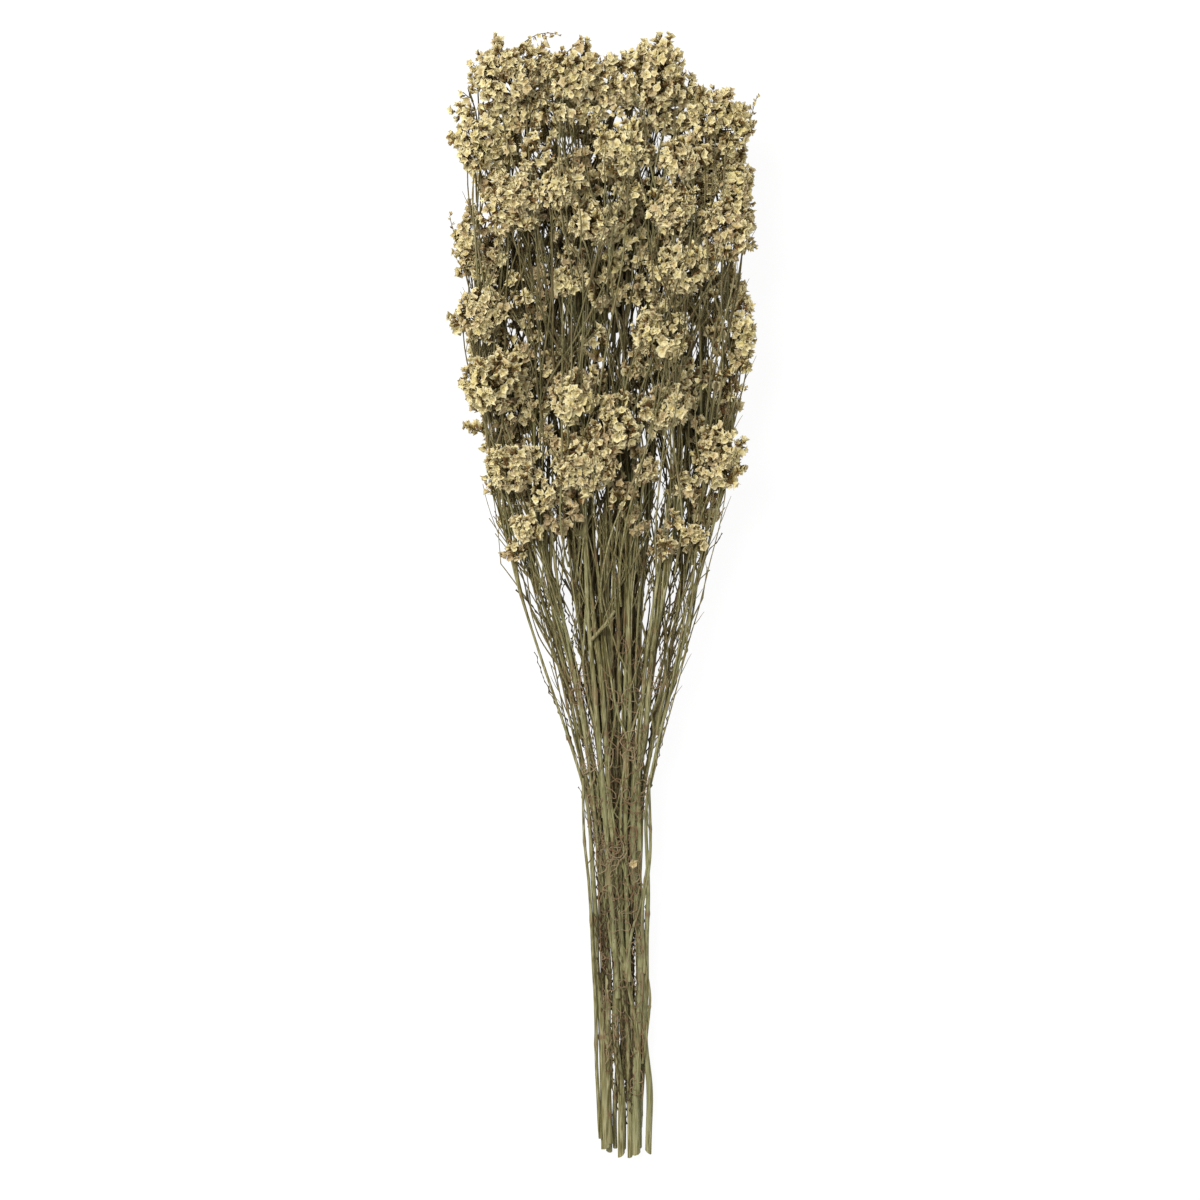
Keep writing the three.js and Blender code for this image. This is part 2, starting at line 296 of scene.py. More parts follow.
# The plan of the bunch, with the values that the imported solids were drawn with


@dataclass(frozen=True)
class Lanes:
    """The lines that the stems follow, in two rows that fan out and rise towards the flowers."""

    cut_y: float = -337.5
    cut_half_width: float = 12
    loosening: float = 8
    fanning: float = 54
    fan_from_y: float = -165
    fan_to_y: float = 118
    cut_centre_x: float = 13
    centred_y: float = 190
    cut_z: float = 2.9
    middle_z: float = 38
    rise_from_y: float = -380
    rise_to_y: float = 130
    row_offset_cut: float = 2.1
    row_offset_fan: float = 3.8
    sway: float = 2.5
    sway_length: float = 44
    sway_phase: float = 2.4
    flowers_end_y: float = 315
    shift: Point = (-0.743, 0.294, 0.0)

    def at(self, stem: float, y: np.ndarray | float, row: np.ndarray | float | None = None) -> np.ndarray:
        """Points on a stem's line.

        Args:
            stem: The stem's place from the left, 0 to 10. A fraction lies between two stems.
            y: How far along the bunch, one number or many.
            row: -1 for the lower row, 1 for the upper one. None takes the stem's own row.

        Returns:
            One point, or one row a point.
        """
        y = np.asarray(y, float)
        if row is None:
            row = -1.0 if int(stem) % 2 else 1.0
        spread = smooth_step(y, self.fan_from_y, self.fan_to_y)
        rise = smooth_step(y, self.rise_from_y, self.rise_to_y)
        off_centre = 1 - smooth_step(y, self.cut_y, self.centred_y)
        across = 2 * stem / 10 - 1
        loosened = np.clip((y - self.cut_y) / (self.fan_to_y - self.cut_y), 0, 1)
        half_width = self.cut_half_width + self.loosening * loosened + self.fanning * spread
        sway = spread * self.sway * np.sin(y / self.sway_length + self.sway_phase * stem)
        offset = self.row_offset_cut + (self.row_offset_fan - self.row_offset_cut) * spread
        x = self.cut_centre_x * off_centre + across * half_width + sway
        z = self.cut_z + (self.middle_z - self.cut_z) * rise + row * offset
        return np.stack(np.broadcast_arrays(x, y, z), axis=-1) + np.array(self.shift)

    def holds(self, point: np.ndarray, margin: float = 5) -> bool:
        """Whether a point lies between the outermost stems, or near them, and below the highest flowers."""
        left, right = self.at(0, point[1])[0] - margin, self.at(10, point[1])[0] + margin
        return bool(left < point[0] < right and point[1] < self.flowers_end_y)


@dataclass(frozen=True)
class HeadPlace:
    """Where a flower head sits, how large it is and how its branch leaves the stem."""

    stem: int
    at: Point
    half: Point
    reach: float
    florets: int

    def centre(self, lanes: Lanes) -> np.ndarray:
        """The head's middle."""
        return np.array(self.at) + np.array(lanes.shift)

    def foot_axis(self, lanes: Lanes) -> np.ndarray:
        """The direction from the head's middle to where its branch ends."""
        behind = lanes.at(self.stem, self.at[1] - self.reach / 2)
        return unit(behind - self.centre(lanes))

    def foot(self, lanes: Lanes) -> np.ndarray:
        """Finds the point where the branch ends.

        Args:
            lanes: The lines of the stems.

        Returns:
            That point.
        """
        core = np.maximum(np.array(self.half) * 0.5, 3.5)
        axis = self.foot_axis(lanes)
        return self.centre(lanes) + axis * (1 / float(np.linalg.norm(axis / core)) + 2.8)

    def branch(self, lanes: Lanes, count: int) -> np.ndarray:
        """Works out the line of the branch that carries the head.

        Args:
            lanes: The lines of the stems.
            count: How many points it has.

        Returns:
            The line's points, from the stem to the head's foot.
        """
        start = lanes.at(self.stem, self.at[1] - self.reach)
        ahead = unit(lanes.at(self.stem, self.at[1] - self.reach + 1) - start)
        end = self.foot(lanes)
        chord = end - start
        lead = float(np.linalg.norm(chord)) / 3
        out = start + unit(ahead + unit(chord)) * lead
        return bezier([start, out, end + self.foot_axis(lanes) * lead, end], count)


UPPER_HEADS = (
    HeadPlace(0, (-72, 276, 46), (20, 22, 17), 70, 210),
    HeadPlace(2, (-56, 311, 58), (24, 23, 17), 70, 240),
    HeadPlace(4, (-14, 312, 60), (22, 22, 17), 70, 230),
    HeadPlace(6, (30, 312, 58), (22, 24, 17), 70, 230),
    HeadPlace(8, (67, 289, 54), (23, 20, 16), 70, 215),
    HeadPlace(6, (13, 271, 60), (21, 19, 16), 100, 200),
    HeadPlace(8, (47, 265, 58), (17, 18, 15), 90, 165),
    HeadPlace(10, (79, 250, 44), (14, 20, 16), 70, 150),
    HeadPlace(2, (-54, 240, 58), (20, 20, 16), 110, 200),
    HeadPlace(4, (-25, 247, 62), (15, 18, 15), 110, 150),
    HeadPlace(0, (-82, 214, 37.5), (10, 26, 13), 90, 125),
    HeadPlace(4, (-4, 226, 60), (20, 17, 15), 120, 170),
    HeadPlace(6, (40, 234, 60), (18, 19, 16), 130, 180),
    HeadPlace(8, (72, 220, 56), (19, 22, 17), 120, 205),
    HeadPlace(8, (46, 198, 58), (20, 18, 16), 130, 185),
    HeadPlace(4, (-24, 192, 58), (10, 12, 9), 130, 60),
    HeadPlace(0, (-74, 171, 55.5), (18, 21, 16), 85, 185),
    HeadPlace(0, (-67, 132, 57), (22, 21, 17), 130, 215),
    HeadPlace(6, (32, 157, 60), (19, 18, 14), 130, 170),
    HeadPlace(10, (83, 160, 39.5), (10, 28, 14), 120, 135),
    HeadPlace(4, (-18, 121, 60), (18, 17, 15), 120, 160),
    HeadPlace(6, (8, 104, 62), (17, 18, 15), 130, 160),
    HeadPlace(4, (-14, 81, 58), (20, 18, 15), 125, 175),
    HeadPlace(8, (39, 117, 58), (17, 17, 15), 130, 160),
    HeadPlace(2, (-54, 80, 53), (19, 18, 15), 120, 170),
    HeadPlace(10, (69, 86, 50), (18, 22, 15), 130, 185),
    HeadPlace(6, (26, 79, 55), (9, 12, 9), 110, 55),
    HeadPlace(2, (-47, 46, 51), (10, 12, 9), 110, 60),
    HeadPlace(10, (57, 40, 46), (7, 9, 7), 110, 40),
)


@dataclass(frozen=True)
class LowerHeads:
    """The rule for the heads of the underside: three on each stem of the lower row."""

    stems: tuple[int, ...] = (1, 3, 5, 7, 9)
    tiers: int = 3
    lowest_y: float = 110
    pitch: float = 78
    stagger: float = 36
    widening: float = 1.06
    z: float = 16.5
    half: Point = (23, 32, 17)
    reach: float = 100
    florets: int = 125

    def places(self, lanes: Lanes) -> list[HeadPlace]:
        """Places the heads, on every other stem half a tier higher.

        Args:
            lanes: The lines of the stems.

        Returns:
            Their places.
        """
        found = []
        for stem in self.stems:
            for tier in range(self.tiers):
                y = self.lowest_y + self.pitch * tier + (self.stagger if stem % 4 == 3 else 0)
                x = (float(lanes.at(stem, y)[0]) - lanes.shift[0]) * self.widening
                found.append(HeadPlace(stem, (x, y, self.z), self.half, self.reach, self.florets))
        return found


SPRAYS = (
    (-52, 328, 5), (-67, 327, 5), (-40, 324, 9), (-25, 324, 7), (6, 320, 5), (-76, 315, 7),
    (-63, 315, 5), (28, 308, 5), (-80, 305, 5), (-10, 305, 5), (52, 305, 9), (-40, 304, 5),
    (9, 303, 14), (32, 292, 11), (-84, 291, 9), (-56, 291, 11), (74, 291, 5), (-29, 290, 11),
    (-9, 289, 9), (84, 283, 5), (-56, 272, 5), (61, 270, 5), (81, 269, 7), (-39, 266, 14), (71, 266, 5),
    (25, 265, 7), (-24, 259, 5), (1, 258, 5), (60, 253, 14), (-43, 250, 5), (-12, 247, 14),
    (15, 247, 14), (45, 242, 5), (37, 238, 5), (56, 233, 5), (-57, 232, 5), (86, 232, 5), (-70, 229, 7),
    (-7, 229, 5), (-46, 227, 7), (-21, 227, 7), (-62, 219, 5), (50, 219, 9), (16, 214, 14),
    (35, 214, 5), (-21, 210, 5), (-74, 198, 5), (-19, 195, 5), (-53, 193, 5), (77, 192, 11),
    (-1, 187, 14), (25, 185, 14), (63, 185, 5), (-48, 183, 5), (87, 177, 5), (-73, 176, 5),
    (43, 174, 7), (68, 163, 7), (-59, 160, 5), (-39, 157, 5), (49, 157, 5), (-78, 153, 7),
    (-66, 152, 5), (-51, 142, 14), (22, 142, 9), (-33, 138, 5), (46, 137, 5), (-9, 135, 5),
    (64, 133, 14), (-18, 127, 5), (-40, 120, 9), (20, 120, 7), (44, 120, 11), (79, 117, 5),
    (1, 115, 14), (-24, 114, 5), (28, 114, 5), (58, 107, 7), (30, 103, 5), (-33, 100, 5), (63, 99, 5),
    (-22, 98, 7), (72, 91, 7), (-40, 89, 7), (21, 89, 5), (-4, 88, 14), (-67, 87, 5), (58, 82, 5),
    (-68, 76, 5), (76, 76, 5), (47, 72, 11), (-67, 67, 5), (-36, 64, 11), (9, 63, 5), (-43, 42, 9),
    (51, 42, 5), (37, 34, 5), (66, 254, 11), (-53, 289, 9), (54, 221, 9), (16, 249, 11), (-70, 148, 11),
    (2, 303, 11), (37, 288, 9), (77, 190, 9), (47, 303, 9), (-51, 134, 9), (54, 74, 7), (-39, 302, 9),
    (50, 131, 7), (39, 177, 7), (-18, 290, 7), (-45, 228, 7), (-12, 100, 7), (25, 265, 7), (68, 162, 7),
    (-35, 321, 11), (9, 321, 9), (48, 288, 11), (-43, 290, 11), (57, 301, 7), (-5, 293, 9), (-33, 316, 9),
)


def spray_place(lanes: Lanes, at: Point, size: float, reach: float) -> HeadPlace:
    """A small spray, on the stem that lies nearest to it.

    Args:
        lanes: The lines of the stems.
        at: Its middle.
        size: Its rough radius.
        reach: How far below it its side branch leaves the stem.

    Returns:
        The spray's place.
    """
    stem = min(range(11), key=lambda k: abs(float(lanes.at(k, at[1] - 30)[0]) - at[0]))
    return HeadPlace(stem, at, (size + 2, size + 3, 0.8 * size + 2), reach, 4 + round(0.3 * size * size))


@dataclass(frozen=True)
class SidePlan:
    """The small sprays between and behind the upper heads, with tiny ones strewn among them."""

    tiny_count: int = 40
    tiny_size: float = 3
    tiny_x: Span = (-66, 66)
    tiny_y: Span = (70, 300)
    crest: float = 55
    fall: float = 17
    half_width: float = 90
    stray_z: Span = (-4, 3)
    lift: float = 8
    lifted_y: Span = (235, 275)
    reach: Span = (30, 55)

    def places(self, lanes: Lanes, draws: Draws) -> list[HeadPlace]:
        """Places the sprays over a crest that falls to both sides.

        Args:
            lanes: The lines of the stems.
            draws: The random stream.

        Returns:
            Their places.
        """
        found, tiny = [], []
        for _ in range(self.tiny_count):
            tiny.append((draws.between(*self.tiny_x), draws.between(*self.tiny_y), self.tiny_size))
        for x, y, size in [*SPRAYS, *tiny]:
            z = self.crest - self.fall * (abs(x) / self.half_width) ** 2 - 0.35 * size
            z = z + draws.between(*self.stray_z) + self.lift * float(smooth_step(y, *self.lifted_y))
            found.append(spray_place(lanes, (x, y, z), size, draws.between(*self.reach)))
        return found


@dataclass(frozen=True)
class InnerPlan:
    """The sprays deep in the bunch and, every third one, along its sides."""

    count: int = 84
    y: Span = (30, 285)
    size: Span = (6, 10)
    side_share: Span = (0.85, 1.02)
    side_z: Span = (20, 44)
    deep_x: Span = (-60, 60)
    deep_z: Span = (37, 51)
    widest_x: Span = (-68, 76)
    clearance: float = 1.05
    reach: Span = (30, 55)

    def places(self, lanes: Lanes, draws: Draws, heads: Sequence[HeadPlace]) -> list[HeadPlace]:
        """Places the sprays where the heads leave room.

        Args:
            lanes: The lines of the stems.
            draws: The random stream.
            heads: The heads that they keep clear of.

        Returns:
            Their places.
        """
        found: list[HeadPlace] = []
        while len(found) < self.count:
            y, size = draws.between(*self.y), draws.between(*self.size)
            if len(found) % 3 == 2:
                edge = float(lanes.at(10 if draws.between(0, 1) < 0.5 else 0, y)[0])
                x, z = edge * draws.between(*self.side_share), draws.between(*self.side_z)
            else:
                x, z = draws.between(*self.deep_x), draws.between(*self.deep_z)
            at = (float(np.clip(x, *self.widest_x)), y, z)
            gaps = [float(np.linalg.norm((np.array(at) - head.at) / head.half)) for head in heads]
            if min(gaps) >= self.clearance:
                found.append(spray_place(lanes, at, size, draws.between(*self.reach)))
        return found


# Florets, sprays and flower heads

HUSK_PAIR = ((0.4, 0.55, 1.0), (2.9, 0.8, 0.85))
TALL_HUSK = ((1.6, 0.2, 1.22),)


class FloretKind(Enum):
    """How far a floret has opened."""

    OPEN = "open"
    BUD = "bud"


@dataclass(frozen=True)
class FloretMould:
    """One floret, life-size, standing on its base with its mouth up.

    An open one is a papery funnel with five pointed, ruffled lobes, closed to a thin rim. Two
    pointed husks stand at its base.
    """

    kind: FloretKind
    tube_radius: float = 0.75
    lobe_radius: float = 3.9
    notch_radius: float = 2.7
    tube_height: float = 1.8
    lobe_height: float = 4.5
    notch_height: float = 4.0
    well_height: float = 2.7
    bud_height: float = 4.8
    husk_length: float = 3.9
    husk_half_width: float = 0.85

    def ring(self, radii: Sequence[float], heights: Sequence[float]) -> list[list[float]]:
        """One ring of points, evenly turned, with a radius and a height for each."""
        turn = np.linspace(0, 2 * math.pi, len(radii), endpoint=False)
        return [[r * math.cos(t), r * math.sin(t), h] for r, t, h in zip(radii, turn, heights)]

    def body(self) -> tuple[np.ndarray, np.ndarray, np.ndarray, np.ndarray]:
        """Works out the floret without its husks.

        Returns:
            The points, the triangles, how much each point ruffles and how far up the petals it lies.
        """
        if self.kind is FloretKind.BUD:
            points = [[0.0, 0.0, 0.0], *self.ring([0.95] * 5, [2.4] * 5), [0.0, 0.0, self.bud_height]]
            corners = [[0, 1 + (k + 1) % 5, 1 + k] for k in range(5)]
            corners += [[1 + k, 1 + (k + 1) % 5, 6] for k in range(5)]
            return np.array(points), np.array(corners), np.full(7, 0.2), np.array([0.0] + [0.5] * 5 + [0.9])
        tube = self.ring([self.tube_radius] * 5, [self.tube_height] * 5)
        rim = self.ring([self.lobe_radius, self.notch_radius] * 5, [self.lobe_height, self.notch_height] * 5)
        corners = []
        for k in range(5):
            a, b = 1 + k, 1 + (k + 1) % 5
            lobe, notch, following = 6 + 2 * k, 7 + 2 * k, 6 + (2 * k + 2) % 10
            corners += [[0, b, a], [a, b, notch], [a, notch, lobe], [b, following, notch]]
            corners += [[lobe, notch, 16], [notch, following, 16]]
        points = np.array([[0.0, 0.0, 0.0], *tube, *rim, [0.0, 0.0, self.well_height]])
        ruffle = np.array([0.0] + [0.06] * 5 + [1.0] * 10 + [0.3])
        rise = np.array([0.0] + [0.2] * 5 + [1.0] * 10 + [0.42])
        return points, np.array(corners), ruffle, rise

    def husks(self, stands: Sequence[Point]) -> tuple[np.ndarray, np.ndarray]:
        """Works out pointed husks that stand at a floret's base.

        Args:
            stands: The turn, the lean and the size of each husk.

        Returns:
            The points and the triangles.
        """
        points, corners = [], []
        for turn, lean, size in stands:
            out = np.array([math.cos(turn), math.sin(turn), 0.0])
            side = np.array([-math.sin(turn), math.cos(turn), 0.0])
            root = out * 0.4 + UP * 0.1
            tip = root + (out * lean + UP) * self.husk_length * size
            wide = root + (out * (lean + 0.12) + UP) * self.husk_length * size * 0.42
            half = side * self.husk_half_width * size
            first = len(points)
            points += [root, wide + half, wide - half, tip]
            for face in ((0, 2, 1), (1, 2, 3), (0, 1, 3), (0, 3, 2)):
                corners.append([first + f for f in face])
        return np.array(points), np.array(corners)


def stamp(
    shape: Shape, local: np.ndarray, corners: np.ndarray, axes: np.ndarray, bases: np.ndarray, **paint: Any
) -> None:
    """Adds one patch of triangles for each of many places.

    Args:
        shape: The shape that takes them.
        local: The points of each patch in its own space.
        corners: The triangles that every patch has.
        axes: The three axes of each place.
        bases: Where each place is.
        **paint: Paint values, one for all points or one a point.
    """
    placed = np.einsum("nvk,nkj->nvj", local, axes) + bases[:, None]
    offsets = (np.arange(len(bases)) * local.shape[1])[:, None, None]
    shape.add(placed.reshape(-1, 3), (corners[None] + offsets).reshape(-1, 3), **paint)


@dataclass
class FloretBed:
    """The florets of one piece: where each stands, where it faces and how it has grown."""

    planted: list[tuple[np.ndarray, ...]] = field(default_factory=list)
    withered_share: ClassVar[float] = 0.45
    openness: ClassVar[Span] = (0.7, 1.15)
    crush: ClassVar[Span] = (0.6, 1.0)
    heights: ClassVar[Span] = (0.9, 1.3)
    husk_sizes: ClassVar[Span] = (0.8, 1.25)

    def plant(self, *values: np.ndarray) -> None:
        """Adds florets by their bases, facings, sizes and tints."""
        self.planted.append(values)

    def grow(self, shape: Shape, draws: Draws, bud_share: float) -> None:
        """Casts every floret into a shape.

        Args:
            shape: The shape that takes them.
            draws: The random stream.
            bud_share: The share that has not opened.
        """
        bases, facings, sizes, tints = (np.concatenate(values) for values in zip(*self.planted))
        facings = unit(facings)
        budding = draws.between(0, 1, len(bases)) < bud_share
        for kind in FloretKind:
            here = budding if kind is FloretKind.BUD else ~budding
            if here.any():
                chosen = (values[here] for values in (bases, facings, sizes, tints))
                self.cast(shape, draws, FloretMould(kind), *chosen)

    def cast(
        self,
        shape: Shape,
        draws: Draws,
        mould: FloretMould,
        bases: np.ndarray,
        facings: np.ndarray,
        sizes: np.ndarray,
        tints: np.ndarray,
    ) -> None:
        """Casts florets of one kind, each turned, crushed and ruffled in its own way.

        Args:
            shape: The shape that takes them.
            draws: The random stream.
            mould: The floret that is cast.
            bases: Where each stands.
            facings: Where the mouth of each faces.
            sizes: How large each is.
            tints: The tint of each, 0 to 1.
        """
        count = len(bases)
        points, corners, ruffle, rise = mould.body()
        turn = draws.between(0, 2 * math.pi, count)
        helper = np.where(np.abs(facings[:, 2:]) < 0.8, UP, np.array([1.0, 0.0, 0.0]))
        first = unit(np.cross(facings, helper))
        second = np.cross(facings, first)
        side = first * np.cos(turn)[:, None] + second * np.sin(turn)[:, None]
        axes = np.stack([side, np.cross(facings, side), facings], axis=1)
        openness = draws.between(*self.openness, count)
        crush = draws.between(*self.crush, count)
        height = draws.between(*self.heights, count) * (1.25 - 0.25 * openness)
        waves = draws.between(-1, 1, count, len(points), 3)
        local = points[None] + waves * ruffle[None, :, None]
        scale = np.stack([openness, openness * crush, height], axis=1) * sizes[:, None]
        rises, point_tints = np.tile(rise, count), np.repeat(tints, len(points))
        stamp(shape, local * scale[:, None], corners, axes, bases, rise=rises, tint=point_tints)
        withered = draws.between(0, 1, count) < self.withered_share
        for here, stands in ((np.ones(count, dtype=bool), HUSK_PAIR), (withered, TALL_HUSK)):
            points, corners = mould.husks(stands)
            grown = sizes[here] * draws.between(*self.husk_sizes, int(here.sum()))
            local = points[None] * grown[:, None, None]
            point_tints = np.repeat(tints[here], len(points))
            stamp(shape, local, corners, axes[here], bases[here], husk=1.0, tint=point_tints)


@dataclass
class Spike:
    """A curved twig that carries a one-sided double row of florets towards its end."""

    path: np.ndarray
    outward: np.ndarray
    bare_share: float = 0.35
    spacing: float = 1.5
    lean: float = 0.5
    splay: float = 1.1
    radius: float = 0.4
    tip_radius: float = 0.26
    tip_lean: ClassVar[float] = 1.6
    stray: ClassVar[float] = 0.45
    tint_stray: ClassVar[float] = 0.35
    floret_sizes: ClassVar[Span] = (0.82, 1.12)
    tip_sizes: ClassVar[np.ndarray] = np.array([0.7, 0.8, 0.9])

    def grow(self, shape: Shape, bed: FloretBed, draws: Draws, tint: float, size: float = 1.0) -> None:
        """Adds the twig to a shape and its florets to a bed.

        Args:
            shape: The shape that takes the twig.
            bed: The bed that takes the florets.
            draws: The random stream.
            tint: The middle of the florets' tints.
            size: How large the florets are.
        """
        whole = length_of(self.path)
        radii = np.linspace(self.radius, self.tip_radius, len(self.path))
        Rod(self.path, radii, 3).add_to(shape, twig=1.0, tint=draws.between(0, 1))
        count = max(3, int(whole * (1 - self.bare_share) / self.spacing))
        number = np.arange(count)
        lengths = whole - number * self.spacing - draws.between(0, 0.5, count)
        bases, ahead = at_length(self.path, np.maximum(lengths, 0.2))
        out = unit(self.outward - ahead * (ahead @ self.outward)[:, None])
        across = np.cross(ahead, out)
        rank = np.where(number % 2 == 0, 1.0, -1.0) * draws.between(0.2, 1.0, count) * self.splay
        stray = draws.between(-self.stray, self.stray, count, 3)
        tip_pull = np.clip(self.tip_lean - number * 0.35, self.lean, self.tip_lean)
        facing = unit(out + across * rank[:, None] + ahead * tip_pull[:, None] + stray)
        grown = size * draws.between(*self.floret_sizes, count)
        grown[:3] *= self.tip_sizes
        tints = np.clip(tint + draws.between(-self.tint_stray, self.tint_stray, count), 0, 1)
        bed.plant(bases + facing * 0.2, facing, grown, tints)


@dataclass
class Piece:
    """One piece of the bunch, with the lanes that it follows and its own random stream."""

    name: str
    lanes: Lanes
    draws: Draws
    shape: Shape = field(default_factory=Shape, init=False)
    slot: ClassVar[str] = STEM_SLOT
    sharp: ClassVar[float] = 70

    def grow(self) -> None:
        """Adds all that the piece is made of to its shape."""
        raise NotImplementedError

    def taper(
        self, path: np.ndarray, radii: Span, sides: int, twig: float, tint: float | None = None
    ) -> None:
        """Adds a rod that thins evenly along its path.

        Args:
            path: Its middle line.
            radii: Its radius at the start and at the end.
            sides: How many sides it has.
            twig: Its twig paint.
            tint: Its tint. None draws one.
        """
        tint = self.draws.between(0, 1) if tint is None else tint
        Rod(path, np.linspace(*radii, len(path)), sides).add_to(self.shape, twig=twig, tint=tint)

    def build(self, finish: bpy.types.Material) -> bpy.types.Object:
        """Grows the piece and makes its Blender object."""
        self.grow()
        return self.shape.piece(self.name, finish, self.slot, self.sharp)


@dataclass
class FlowerHead(Piece):
    """A head of papery florets: spikes that spread from the end of a branch, up and outwards."""

    place: HeadPlace
    tints: Span = (0.35, 0.65)
    bare_angle: float = 0.6
    floret_reach: float = 3.6
    florets_a_spike: int = 6
    bud_share: float = 0.1
    spacing: float = 1.85
    fullness: float = 2.3
    tuft_pitch: float = 3.4
    thinning: float = 0.35
    upper_from_z: float = 30
    underside_reach: float = 0.95
    tuft_tints: ClassVar[Span] = (0.3, 0.7)
    tuft_sizes: ClassVar[Span] = (0.74, 1.24)
    tuft_pull: ClassVar[float] = 0.35
    spike_depths: ClassVar[Span] = (0.86, 1.1)
    spike_lengths: ClassVar[Span] = (7, 15)
    core_radii: ClassVar[Span] = (0.7, 0.35)
    slot: ClassVar[str] = FLOWER_SLOT
    sharp: ClassVar[float] = 25

    def is_upper(self) -> bool:
        """Whether the head lies on the bunch's upper side."""
        return self.place.at[2] > self.upper_from_z

    def faces_away(self, way: np.ndarray) -> bool:
        """Whether a spike that points this way is lost against the stems in the bunch's middle."""
        return float(way[2]) < -0.45 if self.is_upper() else float(way[2]) > 0.8

    def spread(self, count: int, stray: float) -> np.ndarray:
        """Spreads directions evenly over a ball, then lets each stray a little.

        Args:
            count: How many directions there are.
            stray: How far each strays.

        Returns:
            The unit directions.
        """
        axis = self.place.foot_axis(self.lanes)
        first = unit(np.cross(axis, UP))
        level = 1 - 2 * (np.arange(count) + 0.5) / count
        turn = self.draws.between(0, 2 * math.pi) + math.pi * (3 - math.sqrt(5)) * np.arange(count)
        flat = np.sqrt(1 - level**2)
        basis = np.stack([axis, first, np.cross(axis, first)])
        ways = np.stack([level, flat * np.cos(turn), flat * np.sin(turn)], axis=1) @ basis
        return unit(ways + self.draws.between(-stray, stray, count, 3))

    def spikes(self) -> list[tuple[Spike, float]]:
        """Works out the head's spikes, gathered into tufts that point away from its foot.

        Returns:
            Each spike with the tint of its tuft.
        """
        draws = self.draws
        centre, foot = self.place.centre(self.lanes), self.place.foot(self.lanes)
        axis = self.place.foot_axis(self.lanes)
        half = np.array(self.place.half, float)
        inner = np.maximum(half - self.floret_reach, half * 0.55)
        wanted = max(5, round(self.place.florets * self.fullness / self.florets_a_spike))
        tufts = self.spread(max(4, round(float(half.mean()) ** 2 / self.tuft_pitch**2 / 2)), 0.3)
        tuft_tints = draws.between(*self.tuft_tints, len(tufts))
        tuft_sizes = draws.between(*self.tuft_sizes, len(tufts))
        core = float(np.linalg.norm(centre - foot))
        found = []
        for way in self.spread(wanted, 0.24):
            towards_foot = float(way @ axis)
            if towards_foot > math.cos(self.bare_angle) or self.faces_away(way):
                continue
            if towards_foot > 0.1 and draws.between(0, 1) < self.thinning:
                continue
            nearest = int(np.argmax(tufts @ way))
            closeness = float(tufts[nearest] @ way)
            lift = 0.58 + 0.44 * float(smooth_step(closeness, 0.7, 0.98))
            way = unit(way + tufts[nearest] * self.tuft_pull)
            far = lift * tuft_sizes[nearest] * draws.between(*self.spike_depths)
            tip = centre + way * inner * (far if self.is_upper() else min(far, self.underside_reach))
            lead = unit(way - axis * 0.7 + draws.between(-0.6, 0.6, 3))
            reach = min(draws.between(*self.spike_lengths), float(half.min()) * 1.1)
            root = tip - lead * reach
            along = float((root - foot) @ (-axis)) - 9
            start = foot - axis * float(np.clip(along, 0, core))
            path = bezier([start, start - axis * 5, root, tip], 7)
            bare = 1 - reach / max(length_of(path), reach)
            outward = unit(way + draws.between(-0.9, 0.9, 3))
            spike = Spike(draws.wander(path, 0.5, 6), outward, max(bare, 0.05), self.spacing)
            found.append((spike, float(tuft_tints[nearest])))
        return found

    def grow(self) -> None:
        """Adds the head's twigs and florets."""
        bed = FloretBed()
        centre, foot = self.place.centre(self.lanes), self.place.foot(self.lanes)
        tint = self.draws.between(*self.tints)
        core = bezier([foot, foot * 0.4 + centre * 0.6, centre], 6)
        self.taper(core, self.core_radii, 6, twig=1.0, tint=tint)
        for spike, tuft_tint in self.spikes():
            spike_tint = 0.5 * (tint + tuft_tint) if tint > 0.35 else tint
            spike.grow(self.shape, bed, self.draws, spike_tint)
        bed.grow(self.shape, self.draws, self.bud_share)

    def build(self, finish: bpy.types.Material) -> bpy.types.Object:
        """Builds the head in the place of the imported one.

        Args:
            finish: The material of its mesh.

        Returns:
            The object.
        """
        piece = super().build(finish)
        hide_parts(self.name.replace("flowers", "head"))
        return piece


@dataclass
class SideSprays(Piece):
    """A group of small sprays, each on its own thin side branch."""

    places: list[HeadPlace]
    tints: Span = (0.35, 0.65)
    fullness: float = 1.35
    florets_a_spike: int = 5
    branch_radii: Span = (0.55, 0.4)
    slot: ClassVar[str] = FLOWER_SLOT
    sharp: ClassVar[float] = 25

    def grow(self) -> None:
        """Adds each spray with its branch."""
        smaller = {"florets_a_spike": self.florets_a_spike, "fullness": self.fullness}
        for place in self.places:
            path = self.draws.wander(place.branch(self.lanes, 12), 0.6, 14)
            self.taper(path, self.branch_radii, 4, twig=1.0)
            spray = FlowerHead(self.name, self.lanes, self.draws, place, self.tints, **smaller)
            spray.shape = self.shape
            spray.grow()


